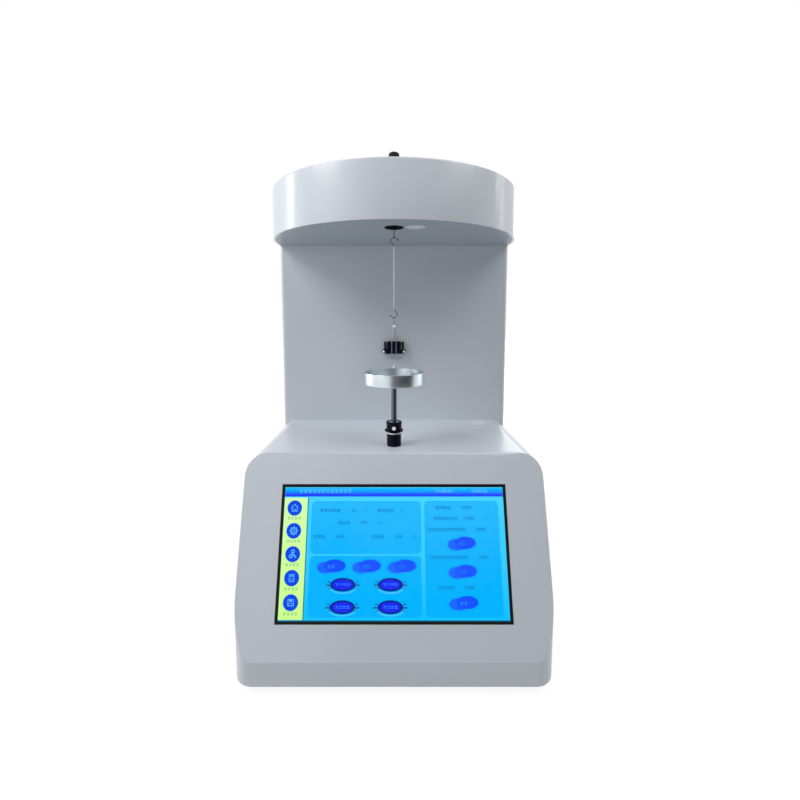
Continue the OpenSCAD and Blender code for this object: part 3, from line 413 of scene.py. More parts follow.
def lathe(profile: Outline, centre: Pair, steps: int = 96) -> BMesh:
    """Turns a profile of radii and heights about an upright axis.

    Args:
        profile: points (radius, height) in metres, from the lower pole to the upper one,
            or a closed loop where the first point is given again at the end.
        centre: the axis in plan.
        steps: faces round the piece.

    Returns:
        The closed mesh, facing outwards.
    """
    bm = bmesh.new()
    dots = [bm.verts.new((centre[0] + r, centre[1], z)) for r, z in profile]
    lines = [bm.edges.new(pair) for pair in zip(dots, dots[1:])]
    spin_full(bm, dots + lines, centre, steps)
    return bm


def wire(points: Outline, thick: float, bend: float, sides: int = 14) -> BMesh:
    """Bends a round wire in the X-Z plane.

    Args:
        points: corners (x, z) of the wire's path.
        thick: its diameter.
        bend: radius of its bends.
        sides: faces round the wire.

    Returns:
        One closed tube with flat ends.
    """
    bm = bmesh.new()
    path = [Vector((x, 0, z)) for x, z in points]
    ways = [(b - a).normalized() for a, b in zip(path, path[1:])]
    turns = [math.atan2(a.z * b.x - a.x * b.z, a.dot(b)) for a, b in zip(ways, ways[1:])]
    reach = [0.0] + [bend * math.tan(abs(turn) / 2) for turn in turns] + [0.0]
    stand = Matrix.Translation(path[0]) @ ways[0].to_track_quat("Z", "Y").to_matrix().to_4x4()
    bmesh.ops.create_circle(bm, cap_ends=True, radius=thick / 2, segments=sides, matrix=stand)
    loop = bm.edges[:]
    for i, way in enumerate(ways):
        grown = bmesh.ops.extrude_edge_only(bm, edges=loop)["geom"]
        dots = [item for item in grown if isinstance(item, BMVert)]
        edges = [item for item in grown if isinstance(item, BMEdge)]
        loop = [edge for edge in edges if all(vert in dots for vert in edge.verts)]
        length = (path[i + 1] - path[i]).length - reach[i] - reach[i + 1]
        bmesh.ops.translate(bm, verts=dots, vec=way * length)
        if i < len(turns):
            side = math.copysign(1.0, turns[i])
            inward = Matrix.Rotation(side * UPRIGHT, 3, "Y") @ way
            hub = path[i + 1] - way * reach[i + 1] + inward * bend
            last = bmesh.ops.spin(
                bm, geom=dots + loop, cent=hub, axis=(0, 1, 0), angle=turns[i],
                steps=max(4, int(abs(turns[i]) * 7)), use_merge=False, use_duplicate=False,
            )["geom_last"]
            loop = [e for e in last if isinstance(e, BMEdge)]
    bmesh.ops.holes_fill(bm, edges=loop, sides=sides)
    bmesh.ops.remove_doubles(bm, verts=bm.verts, dist=WELD)
    bmesh.ops.recalc_face_normals(bm, faces=bm.faces)
    return bm


def hoop(radius: float, thick: float, around: int = 96, sides: int = 12) -> BMesh:
    """A ring of round wire, lying flat about the origin."""
    bm = bmesh.new()
    stand = Matrix.Translation((radius, 0, 0)) @ Matrix.Rotation(UPRIGHT, 4, "X")
    bmesh.ops.create_circle(bm, cap_ends=False, radius=thick / 2, segments=sides, matrix=stand)
    spin_full(bm, bm.verts[:] + bm.edges[:], (0.0, 0.0), around)
    return bm


def added(name: str, data: bpy.types.ID) -> bpy.types.Object:
    """A new object of the scene that shows the data."""
    obj = bpy.data.objects.new(name, data)
    bpy.context.scene.collection.objects.link(obj)
    return obj


def shown(name: str, bm: BMesh) -> bpy.types.Object:
    """A new object of the scene that shows the mesh, which is freed here."""
    mesh = bpy.data.meshes.new(name)
    bm.to_mesh(mesh)
    bm.free()
    return added(name, mesh)


def moved(bm: BMesh, matrix: Matrix) -> BMesh:
    """The same mesh after a move or turn."""
    bmesh.ops.transform(bm, matrix=matrix, verts=bm.verts)
    return bm


def gathered(parts: list[BMesh]) -> BMesh:
    """Several meshes put together in the first one."""
    whole = parts[0]
    for part in parts[1:]:
        spare = bpy.data.meshes.new("spare")
        part.to_mesh(spare)
        whole.from_mesh(spare)
        part.free()
        bpy.data.meshes.remove(spare)
    return whole


class Maker:
    """Turns meshes into finished pieces on their bodies, with one material for each finish."""

    def __init__(self) -> None:
        """Starts with no materials made."""
        self.made: dict[str, bpy.types.Material] = {}

    def material(self, name: str, finish: Finish) -> bpy.types.Material:
        """The finish's material, made the first time it is asked for."""
        if name not in self.made:
            self.made[name] = finish.dress(name)
        return self.made[name]

    def piece(
        self,
        name: str,
        bm: BMesh,
        body: str,
        slot: str,
        finish: Finish,
        stands_for: tuple[str, ...] = (),
        smooth: float = 32.0,
        soft: float = 0.0,
    ) -> None:
        """Makes one piece of the visible model.

        Args:
            name: its name.
            bm: its mesh, in place; it is freed here.
            body: the CAD body that carries it.
            slot: the record's material slot.
            finish: what it is made of.
            stands_for: CAD nodes that it replaces.
            smooth: edges flatter than this many degrees are shaded smooth.
            soft: width of a bevel on its sharp edges.
        """
        for face in bm.faces:
            face.smooth = True
        for edge in bm.edges:
            flat = edge.calc_face_angle(0.0) < math.radians(smooth)
            edge.smooth = len(edge.link_faces) == 2 and flat
        obj = shown(name, bm)
        tag = f"{slot}_{type(finish).__name__.lower()}_{hash_name(finish)}"
        obj.data.materials.append(self.material(tag, finish))
        if soft:
            bevel = obj.modifiers.new("edges", "BEVEL")
            bevel.width = soft
            bevel.segments = 3
            bevel.limit_method = "ANGLE"
            bevel.angle_limit = math.radians(smooth)
            bevel.harden_normals = True
        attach(obj, body)
        if stands_for:
            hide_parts(*stands_for)
        log.info("piece %s on %s", name, body)

    def instead(
        self,
        node: str,
        name: str,
        bm: BMesh,
        finish: Finish,
        smooth: float = 32.0,
        soft: float = 0.0,
    ) -> None:
        """Makes a piece that stands for one CAD node, on its body and in its slot."""
        self.piece(name, bm, body_of(node), slot_of(node), finish, (node,), smooth, soft)

    def softened(self, node: str, finish: Finish, soft: float, smooth: float = 32.0) -> None:
        """A CAD node's own shape with its triangles merged and its sharp edges rounded."""
        self.instead(node, f"{node}_dressed", merged(node), finish, smooth, soft)

    def coat(self, node: str, finish: Finish) -> None:
        """Gives a CAD node its finish as it is."""
        materials = frame["nodes"][node].data.materials
        materials.clear()
        materials.append(self.material(f"{node}_finish", finish))
        log.info("node %s dressed", node)


def merged(node: str) -> BMesh:
    """A CAD node's mesh with its flat faces made whole."""
    bm = bmesh.new()
    bm.from_mesh(frame["nodes"][node].data)
    bmesh.ops.remove_doubles(bm, verts=bm.verts, dist=CAD_WELD)
    bmesh.ops.dissolve_limit(
        bm, angle_limit=FLAT, use_dissolve_boundaries=False, verts=bm.verts[:], edges=bm.edges[:],
    )
    return bm


def hash_name(finish: Finish) -> str:
    """A short steady tag that tells two finishes of one kind apart."""
    return f"{sum(ord(c) * (i + 1) for i, c in enumerate(repr(finish))) % 99991:05d}"


def body_of(node: str) -> str:
    """The body that carries a CAD node."""
    bodies = frame["record"]["behaviour"]["bodies"]
    return next(body for body, nodes in bodies.items() if node in nodes)


def slot_of(node: str) -> str:
    """The material slot of a CAD node."""
    subparts = frame["record"]["subparts"]
    return next(part["material_slot"] for part in subparts if part["node"] == node)


def middle(node: str) -> Pair:
    """The middle of a CAD node in plan."""
    low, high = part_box(node)
    return ((low.x + high.x) / 2, (low.y + high.y) / 2)


# ---- finishes of this object ----

CASE_PAINT = Paint((0.605, 0.65, 0.705), 0.42, lacquer=0.45)
# Darker case paint for the head's underside: painted shade, since the underside lies in the head's own
# shadow
UNDER_PAINT_PAINTED_SHADE = Paint((0.41, 0.455, 0.515), 0.45)
BLACK_ANODISED = Plastic((0.003, 0.004, 0.010), 0.32, shine=0.08)
BLACK_MATT = Plastic((0.008, 0.009, 0.012), 0.5, shine=0.12)
BLACK_GLOSS = Plastic((0.003, 0.005, 0.014), 0.26, 2600.0, shine=0.1)
BLACK_DEEP = Plastic((0.003, 0.003, 0.005), 0.7, shine=0.04)
DARK_WIRE = Metal((0.07, 0.075, 0.085), 0.34, Grain.UP)
THIN_WIRE = Metal((0.22, 0.23, 0.24), 0.3)
RUBBER = Plastic((0.022, 0.022, 0.022), 0.82, 700.0, 0.00004)
ZINC = Metal((0.50, 0.51, 0.53), 0.36)
BRIGHT_STEEL = Metal((0.80, 0.81, 0.83), 0.14)
PLATED = Metal((0.52, 0.53, 0.55), 0.3)
BRASS = Metal((0.80, 0.60, 0.27), 0.28)
COPPER = Metal((0.72, 0.33, 0.16), 0.35, Grain.UP)
IRON = Metal((0.34, 0.36, 0.39), 0.45, depth=0.00004)
MILLED = Metal((0.74, 0.75, 0.77), 0.36, Grain.ACROSS)
GROUND = Metal((0.66, 0.67, 0.69), 0.2, Grain.UP)
OPAL = Plastic((0.80, 0.83, 0.85), 0.32, 900.0, coat=0.4)
LENS = Plastic((0.80, 0.83, 0.86), 0.5, 900.0, shine=0.15)
BOARD_GREEN = Plastic((0.02, 0.14, 0.05), 0.35, 600.0, coat=0.5)


# ---- the housing ----


@dataclass
class Housing:
    """Base, column and head: painted sheet and castings with softly broken edges."""

    edge: float = 1.6 * MM
    seam_edge: float = 0.35 * MM
    front_edge: float = 2.6 * MM
    front_length: float = 200 * MM
    front_turn: float = math.radians(40)
    base_smooth: float = 14.0
    shell_smooth: float = 20.0

    def build(self, maker: Maker) -> None:
        """Dresses the shells, covers, plates and the base pan."""
        base = self.base()
        maker.instead("base_shell", "base_shell_dressed", base, CASE_PAINT, self.base_smooth, self.edge)
        # The head's underside plate takes the darker paint, which is painted shade
        paints = {"column_shell": CASE_PAINT, "head_shell": CASE_PAINT, "head_plate": UNDER_PAINT_PAINTED_SHADE}
        for node, paint in paints.items():
            maker.softened(node, paint, self.seam_edge, self.shell_smooth)
        for node in ("rear_panel", "column_cover", "head_cover"):
            maker.softened(node, CASE_PAINT, self.seam_edge)
        maker.softened("base_plate", Paint((0.10, 0.105, 0.115), 0.5, 0.6), self.seam_edge)

    def base(self) -> BMesh:
        """The base shell with the deck's front edge rounded more than the rest."""
        bm = merged("base_shell")
        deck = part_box("base_shell")[1].z
        front = [
            edge for edge in bm.edges
            if edge.calc_length() > self.front_length and len(edge.link_faces) == 2
            and all(abs(vert.co.z - deck) < self.edge / 4 for vert in edge.verts)
            and edge.calc_face_angle(0.0) > self.front_turn
            and abs(edge.verts[0].co.y - edge.verts[1].co.y) < self.edge / 4
        ]
        log.info("%d long edges rounded", len(front))
        bmesh.ops.bevel(
            bm, geom=front, offset=self.front_edge, segments=7, affect="EDGES", profile=0.5, material=-1,
        )
        return bm


# ---- the screen ----


# The touch glass before it leans
GLASS_THICK = 1.2 * MM
GLASS_TALL = 121.5 * MM


@dataclass
class Face:
    """The slanted face: a place for flat shapes across, up and out of the screen."""

    centre: Vector
    lean: float

    @classmethod
    def found(cls) -> "Face":
        """Reads the face's place and lean from the box of the touch glass."""
        low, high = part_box("touch_glass")
        rise, run = high.z - low.z, high.y - low.y
        lean = math.atan2(run * GLASS_TALL - rise * GLASS_THICK, rise * GLASS_TALL - run * GLASS_THICK)
        return cls((low + high) / 2, lean)

    def matrix(self) -> Matrix:
        """From the screen's own places to the frame's."""
        return Matrix.Translation(self.centre) @ Matrix.Rotation(UPRIGHT - self.lean, 4, "X")


class Glyph(Enum):
    """Pictures on the round buttons of the side bar."""

    HOME = "house"
    GEAR = "gear"
    TOOL = "spanner"
    SHEET = "sheet"
    STORE = "disk"


PLAIN_COLOURS = {
    "mark": (0.12, 0.50, 1.0),
    "side_shade": (0.01, 0.12, 0.30),
    "side_mark": (0.08, 0.33, 0.20),
    "button": (0.006, 0.075, 0.95),
    "button_rim": (0.008, 0.12, 0.74),
    "button_light": (0.008, 0.125, 0.97),
    "button_mark": (0.03, 0.34, 1.0),
    "icon": (0.004, 0.055, 0.74),
    "glyph": (0.10, 0.46, 1.0),
    "panel_rim": (0.0, 0.34, 0.86),
    "label": (0.004, 0.05, 0.26),
    "unit": (0.004, 0.13, 0.50),
    "pale": (0.10, 0.55, 1.0),
    "navy": (0.004, 0.010, 0.16),
    "violet": (0.010, 0.022, 0.80),
}
# Lower and upper colour, and where the change between them starts and ends, as shares of
# the glass's height measured from its top
CLIMBING_COLOURS = {
    "ground": ((0.004, 0.50, 0.96), (0.06, 0.63, 1.0), 1.0, 0.0),
    "title": ((0.014, 0.05, 0.94), (0.002, 0.40, 0.96), 0.062, 0.03),
    "side": ((0.58, 0.96, 0.24), (0.62, 0.98, 0.42), 1.0, 0.0),
    "panel": ((0.0, 0.42, 0.97), (0.02, 0.47, 0.98), 0.6, 0.0),
}


@dataclass
class Picture:
    """What the screen shows, in millimetres across and up from its middle.

    Its colours are sheets of one thickness. Level 0 lies at the floor, measured outwards
    from the middle of the glass, and each level a step above the one before.
    """

    face: Face
    floor: float = -0.795
    step: float = 0.035
    thick: float = 0.02
    figure_size: float = 1.35
    figure_weld: float = 1e-4
    layers: dict[str, list[BMesh]] = field(default_factory=dict)

    def flat(self, colour: str, bm: BMesh, level: int) -> None:
        """Adds a flat shape to a colour's layer, as a thin sheet at its level."""
        faces = bmesh.ops.extrude_face_region(bm, geom=bm.faces[:])["geom"]
        dots = [item for item in faces if isinstance(item, BMVert)]
        bmesh.ops.translate(bm, verts=dots, vec=(0, 0, self.thick))
        bmesh.ops.recalc_face_normals(bm, faces=bm.faces)
        up = Matrix.Translation((0, 0, self.floor + level * self.step))
        self.layers.setdefault(colour, []).append(
            moved(bm, self.face.matrix() @ Matrix.Scale(MM, 4) @ up)
        )

    @staticmethod
    def plate(x0: float, y0: float, x1: float, y1: float, round_by: float = 0.0) -> BMesh:
        """A flat rectangle with rounded corners."""
        bm = bmesh.new()
        size = Matrix.Diagonal(((x1 - x0) / 2, (y1 - y0) / 2, 1, 1))
        spot = Matrix.Translation(((x0 + x1) / 2, (y0 + y1) / 2, 0))
        bmesh.ops.create_grid(bm, x_segments=1, y_segments=1, size=1.0, matrix=spot @ size)
        if round_by:
            bmesh.ops.bevel(
                bm, geom=bm.verts[:], offset=round_by, segments=6, affect="VERTICES",
                profile=0.5, material=-1,
            )
        return bm

    @staticmethod
    def disc(x: float, y: float, wide: float, high: float | None = None, sides: int = 40) -> BMesh:
        """A flat disc or oval."""
        bm = bmesh.new()
        shape = Matrix.Translation((x, y, 0)) @ Matrix.Diagonal((wide / 2, (high or wide) / 2, 1, 1))
        bmesh.ops.create_circle(bm, cap_ends=True, radius=1.0, segments=sides, matrix=shape)
        return bm

    @staticmethod
    def band(bm: BMesh, width: float) -> BMesh:
        """Only the rim of a flat shape, of that width."""
        grown = bmesh.ops.inset_region(
            bm, faces=bm.faces[:], thickness=width, use_even_offset=True, use_boundary=True
        )
        rim = set(grown["faces"])
        bmesh.ops.delete(bm, geom=[f for f in bm.faces if f not in rim], context="FACES")
        return bm

    @staticmethod
    def bar(x: float, y: float, length: float, width: float, turn: float = 0.0) -> BMesh:
        """A short bar about a point, turned in the plane."""
        bm = Picture.plate(-length / 2, -width / 2, length / 2, width / 2, width * 0.3)
        return moved(bm, Matrix.Translation((x, y, 0)) @ Matrix.Rotation(turn, 4, "Z"))

    def number(self, text: str, x: float, y: float, high: float, colour: str) -> None:
        """Plain figures, centred on a point."""
        curve = bpy.data.curves.new("figures", "FONT")
        curve.body = text
        curve.size = high * self.figure_size
        curve.align_x, curve.align_y = "CENTER", "CENTER"
        curve.resolution_u = 2
        holder = bpy.data.objects.new("figures", curve)
        bm = bmesh.new()
        bm.from_mesh(holder.to_mesh())
        holder.to_mesh_clear()
        bpy.data.objects.remove(holder)
        bpy.data.curves.remove(curve)
        bmesh.ops.remove_doubles(bm, verts=bm.verts, dist=self.figure_weld)
        self.flat(colour, moved(bm, Matrix.Translation((x, y, 0))), 4)

    def words(self, x: float, y: float, count: int, high: float, colour: str) -> None:
        """A row of small blocks that stands for a label, centred on a point."""
        pitch = high * 1.12
        for i in range(count):
            spot = x + (i - (count - 1) / 2) * pitch
            stroke = 0.30 + 0.14 * ((i * 5 + count) % 3)
            for across, up, length, width, turn in (
                (0.0, 0.28, 0.82, 0.13, 0.0), (0.0, -0.3, 0.7, 0.13, 0.0),
                (-0.2, 0.0, stroke, 0.12, UPRIGHT), (0.2, 0.0, 0.5, 0.12, UPRIGHT),
            ):
                bar = self.bar(spot + high * across, y + high * up, high * length, high * width, turn)
                self.flat(colour, bar, 4)

    def title(self) -> None:
        """The bar along the top, with its label, date and time places."""
        self.flat("title", self.plate(-110.2, 51.6, 110.2, 59.8), 0)
        self.words(-69.5, 57.0, 12, 4.0, "mark")
        self.number("00-00-00", 51.0, 56.8, 3.4, "mark")
        self.number("00:00:00", 87.0, 56.8, 3.4, "mark")

    def icon(self, x: float, y: float, glyph: Glyph) -> None:
        """One round button of the side bar with its picture and label."""
        self.flat("icon", self.disc(x, y, 14.6), 1)
        self.flat("button_rim", self.band(self.disc(x, y, 14.8), 0.7), 2)
        for stroke in self.strokes(x, y, glyph):
            self.flat("glyph", stroke, 3)
        self.words(x, y - 9.6, 4, 3.2, "side_mark")

    def strokes(self, x: float, y: float, glyph: Glyph) -> list[BMesh]:
        """The flat shapes of one picture, about a point."""
        bar, disc, plate, band = self.bar, self.disc, self.plate, self.band
        if glyph is Glyph.HOME:
            shapes = []
            for side in (-1, 1):
                shapes.append(bar(x + side * 1.7, y + 1.9, 4.8, 0.8, -side * 0.75))
                shapes.append(bar(x + side * 2.6, y - 1.2, 3.6, 0.8, UPRIGHT))
                shapes.append(bar(x + side * 0.9, y - 1.7, 2.6, 0.6, UPRIGHT))
            return [*shapes, bar(x, y - 3.0, 5.6, 0.7)]
        if glyph is Glyph.GEAR:
            hub = [band(disc(x, y, 6.6), 1.0), band(disc(x, y, 2.8), 0.6)]
            turns = [i * math.tau / 8 for i in range(8)]
            return hub + [
                bar(x + 3.5 * math.cos(turn), y + 3.5 * math.sin(turn), 1.3, 1.2, turn) for turn in turns
            ]
        if glyph is Glyph.TOOL:
            jaws = [band(disc(x - 1.9, y - 1.9, 3.8), 1.0), band(disc(x + 0.2, y + 2.6, 3.6), 0.9)]
            return [bar(x + 1.0, y - 0.6, 7.0, 1.3, -0.85), *jaws]
        if glyph is Glyph.SHEET:
            page = [band(plate(x - 2.7, y - 3.5, x + 2.7, y + 3.5, 0.6), 0.6), bar(x, y + 1.9, 3.4, 1.0)]
            return page + [
                bar(x - 1.3 + 1.3 * (i % 3), y - 0.4 - 1.5 * (i // 3), 0.8, 0.7) for i in range(6)
            ]
        return [
            band(plate(x - 3.1, y - 3.1, x + 3.1, y + 3.1, 0.8), 0.6),
            plate(x - 1.7, y + 0.8, x + 1.5, y + 2.6, 0.2),
            band(plate(x - 2.0, y - 2.8, x + 2.0, y - 0.2, 0.2), 0.5),
        ]

    def panel(self, x0: float, y0: float, x1: float, y1: float) -> None:
        """A field with a fine rounded outline."""
        self.flat("panel", self.plate(x0, y0, x1, y1, 4.5), 0)
        self.flat("panel_rim", self.band(self.plate(x0, y0, x1, y1, 4.5), 0.55), 1)

    def blob(self, x: float, y: float, count: int = 2) -> None:
        """A swelling button."""
        self.flat("button_light", self.disc(x - 5.0, y - 0.9, 18.4, 10.8), 1)
        self.flat("button", self.disc(x + 3.4, y + 0.7, 21.4, 11.6), 2)
        self.words(x, y, count, 3.4, "button_mark")

    def oval(self, x: float, y: float) -> None:
        """A dark oval button in a pale ring, with dashes at both sides."""
        self.flat("pale", self.disc(x, y - 1.2, 28.5, 13.4), 1)
        self.flat("panel", self.disc(x, y - 0.6, 28.0, 13.0), 2)
        self.flat("navy", self.disc(x, y, 24.4, 12.0), 3)
        self.flat("violet", self.disc(x, y, 20.6, 9.4), 4)
        for side in (-1, 1):
            for out, up, length, width, turn in (
                (13.6, 2.3, 3.0, 0.9, 0.5), (14.2, -0.6, 3.8, 1.2, 0.06), (12.6, -3.0, 2.6, 0.8, -0.5)
            ):
                self.flat("navy", self.bar(x + side * out, y + up, length, width, side * turn), 3)
        self.words(x, y, 4, 3.2, "button_mark")

    def fields(self) -> None:
        """The three fields with their labels, figures and buttons."""
        self.panel(-82.6, -2.0, 26.8, 47.0)
        self.panel(-82.6, -57.8, 26.8, -4.0)
        self.panel(30.6, -57.8, 104.6, 47.2)
        for x, y, count, text, figure_x in (
            (-64.0, 38.2, 5, "20", -40.5), (-8.5, 38.2, 4, "0", 8.5),
            (-50.0, 26.6, 3, "0.90", -30.5),
            (-74.0, 13.6, 3, "0.00", -53.5), (-16.5, 13.6, 3, "0.00", 4.5),
            (49.5, 41.0, 4, "0.002", 73.0), (51.5, 30.8, 6, "0.000", 75.0),
            (52.5, 20.2, 9, "0.000", 86.5), (53.5, -5.3, 9, "0.000", 88.0),
            (51.0, -32.4, 4, "0.000", 73.0),
        ):
            self.words(x, y, count, 3.8, "label")
            self.number(text, figure_x, y, 3.4, "label")
        for x, y, count in (
            (-28.5, 38.2, 1), (22.0, 38.2, 1), (-13.5, 26.6, 2), (-35.0, 13.6, 2),
            (20.5, 13.6, 2), (91.5, 30.8, 1), (99.5, 20.2, 1), (91.5, -32.4, 2),
        ):
            self.words(x, y, count, 2.8, "unit")
        for x in (-61.3, -26.8, 7.8):
            self.blob(x, -13.6)
        for y in (7.2, -18.4, -46.0):
            self.blob(67.0, y)
        for x in (-49.5, -3.4):
            for y in (-29.7, -49.3):
                self.oval(x, y)

    @staticmethod
    def glow(colour: str) -> Lit:
        """The light of one colour's sheet, even or changing with the height on the screen."""
        if colour in PLAIN_COLOURS:
            return Lit(PLAIN_COLOURS[colour])
        low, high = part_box("touch_glass")
        tall = high.z - low.z
        lower, upper, start, end = CLIMBING_COLOURS[colour]
        return Lit(lower, upper, low=high.z - start * tall, high=high.z - end * tall)

    def build(self, maker: Maker) -> None:
        """Draws the whole picture and hands its colours over as lit sheets."""
        self.flat("ground", self.plate(-110.7, -60.6, 110.7, 60.6), -1)
        self.title()
        self.flat("side", self.plate(-110.2, -60.2, -87.2, 50.6), 0)
        self.flat("side_shade", self.plate(-87.2, -60.2, -86.2, 50.6), 1)
        for i, glyph in enumerate(Glyph):
            self.icon(-100.0 + 0.2 * i, 40.6 - 21.5 * i, glyph)
        self.fields()
        for colour, parts in self.layers.items():
            maker.piece(f"display_{colour}", gathered(parts), "case", "screen_picture", self.glow(colour))


@dataclass
class Screen:
    """Black frame, display and touch glass in the slanted face."""

    edge: float = 0.3 * MM
    glass_index: float = 1.1

    def build(self, maker: Maker) -> None:
        """Dresses the frame, the dark panel and the glass, and draws the picture between them."""
        maker.softened("screen_bezel", BLACK_MATT, self.edge)
        maker.coat("lcd_panel", BLACK_MATT)
        maker.coat("touch_glass", ClearPart((1.0, 1.0, 1.0), index=self.glass_index))
        Picture(Face.found()).build(maker)


# ---- head and balance ----


@dataclass
class Balance:
    """What shows of the balance on and under the head: bushing, lamp, hook, bush and lock knob."""

    edge: float = 0.25 * MM
    bore: float = 4.5 * MM
    flange: float = 2.0 * MM
    flange_high: float = 0.8 * MM
    flange_edge: float = 0.3 * MM
    mouth: float = 0.7 * MM
    lens_edge: float = 0.2 * MM
    lens_rise: float = 0.5 * MM

    def build(self, maker: Maker) -> None:
        """Turns the bushing and the lens, and dresses the rest."""
        maker.instead("hook_bushing", "hook_bushing_turned", self.bushing("hook_bushing"), BLACK_DEEP)
        maker.instead("lamp_lens", "lamp_lens_domed", self.lens("lamp_lens"), LENS)
        maker.softened("knob_bush", BRASS, self.edge)
        maker.softened("lock_knob", BLACK_MATT, self.edge)
        maker.coat("balance_hook", DARK_WIRE)

    def bushing(self, node: str) -> BMesh:
        """The hook's bushing, with a broken edge and a countersunk mouth."""
        low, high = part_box(node)
        outer = (high.x - low.x) / 2
        body, bore, ledge, edge = outer - self.flange, self.bore, low.z + self.flange_high, self.flange_edge
        return lathe([
            (bore + self.mouth, low.z), (outer - edge, low.z), (outer, low.z + edge),
            (outer, ledge), (body, ledge), (body, high.z), (bore, high.z),
            (bore, low.z + self.mouth), (bore + self.mouth, low.z),
        ], middle(node))

    def lens(self, node: str) -> BMesh:
        """The lamp's opal lens: a shallow dish in a fine rim."""
        low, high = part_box(node)
        outer, edge, rise = (high.x - low.x) / 2, self.lens_edge, self.lens_rise
        return lathe([
            (0.0, low.z + rise), (outer * 0.6, low.z + rise * 0.76), (outer * 0.86, low.z + rise * 0.24),
            (outer * 0.9, low.z), (outer - edge, low.z), (outer, low.z + edge),
            (outer, high.z), (0.0, high.z),
        ], middle(node))


# ---- wire, stirrup and ring ----


@dataclass
class Hanging:
    """The suspension wire and the ring with its stirrup, bead and stem."""

    smooth: float = 50.0
    wire_thick: float = 0.8 * MM
    bend: float = 0.9 * MM
    hook_half: float = 3.8 * MM
    top_neck: float = 9.7 * MM
    low_neck: float = 10.2 * MM
    top_seat: float = 0.27 * MM
    low_seat: float = 0.35 * MM
    leg_thick: float = 0.6 * MM
    leg_top: float = 0.5 * MM
    shoulder_up: float = 22.0 * MM
    tie_thick: float = 0.4 * MM
    tie_down: float = 1.3 * MM
    ring_thick: float = 0.5 * MM
    ring_radius: float = 9.55 * MM
    bead_up: float = 33.7 * MM
    bead_radius: float = 1.5 * MM
    stem_thick: float = 0.9 * MM
    stem_foot: float = 0.7 * MM
    stem_down: float = 1.5 * MM
    eye_radius: float = 1.6 * MM
    turn: float = math.radians(76)

    def build(self, maker: Maker) -> None:
        """Bends the wire and makes the ring over their CAD nodes."""
        axis = middle("hook_bushing")
        low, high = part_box("suspension_wire")
        apex = high.z - self.wire_thick / 2 + self.top_seat
        foot = low.z + self.wire_thick / 2 - self.low_seat
        half, top, bottom = self.hook_half, apex - self.top_neck, foot + self.low_neck
        path = [
            (5.3 * MM, apex - 3.7 * MM), (0.0, apex), (-half, apex - 3.7 * MM), (0.0, top),
            (0.0, bottom), (half, foot + 4.5 * MM), (0.0, foot), (-4.4 * MM, foot + 3.5 * MM),
        ]
        bm = moved(wire(path, self.wire_thick, self.bend), Matrix.Translation((*axis, 0)))
        # The second colour is a painted dark reflection on the wire's bent ends
        drawn = HookWire((0.52, 0.55, 0.58), (0.05, 0.055, 0.065), bottom, top)
        maker.instead("suspension_wire", "suspension_wire_bent", bm, drawn, self.smooth)
        low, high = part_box("platinum_ring")
        bm = self.ring(axis, low, high)
        maker.instead("platinum_ring", "ring_and_stirrup", bm, THIN_WIRE, self.smooth)
        maker.piece("ring_bead", self.bead(axis, low), "ring", slot_of("platinum_ring"),
                    Plastic((0.86, 0.87, 0.87), 0.25, 900.0, coat=0.5), (), self.smooth)

    def ring(self, axis: Pair, low: Vector, high: Vector) -> BMesh:
        """Ring, two bent legs with a tie, stem and eye."""
        level = low.z + self.ring_thick / 2
        shoulder, bead, reach = level + self.shoulder_up, level + self.bead_up, self.ring_radius
        eye = high.z - self.eye_radius - self.ring_thick / 2
        parts = [moved(hoop(reach, self.ring_thick), Matrix.Translation((0, 0, level)))]
        for side in (-1, 1):
            top = (side * self.leg_top, bead - self.leg_top)
            leg = [top, (side * reach, shoulder), (side * reach, level)]
            parts.append(wire(leg, self.leg_thick, self.bend))
            collar = lathe([(0.0, -0.5 * MM), (0.42 * MM, -0.35 * MM), (0.45 * MM, 0.2 * MM),
                            (0.3 * MM, 0.6 * MM), (0.0, 0.6 * MM)], (0.0, 0.0), 16)
            parts.append(moved(collar, Matrix.Translation((side * reach, 0, level))))
        tie = shoulder - self.tie_down
        parts.append(wire([(-reach, tie), (reach, tie)], self.tie_thick, self.bend, 10))
        stem = [(0.0, bead + self.stem_foot), (0.0, eye - self.stem_down)]
        parts.append(wire(stem, self.stem_thick, self.bend))
        loop = moved(hoop(self.eye_radius, self.ring_thick, 40), Matrix.Rotation(UPRIGHT, 4, "Y"))
        turned = Matrix.Rotation(self.turn, 4, "Z")
        parts = [moved(part, turned) for part in parts]
        parts.append(moved(loop, Matrix.Translation((0, 0, eye))))
        return moved(gathered(parts), Matrix.Translation((*axis, 0)))

    def bead(self, axis: Pair, low: Vector) -> BMesh:
        """The bead where the stirrup's legs meet the stem."""
        centre, r = low.z + self.ring_thick / 2 + self.bead_up, self.bead_radius
        half = [i * math.pi / 16 for i in range(17)]
        return lathe([(r * math.sin(t), centre - r * math.cos(t)) for t in half], axis, 32)


# ---- the stage ----


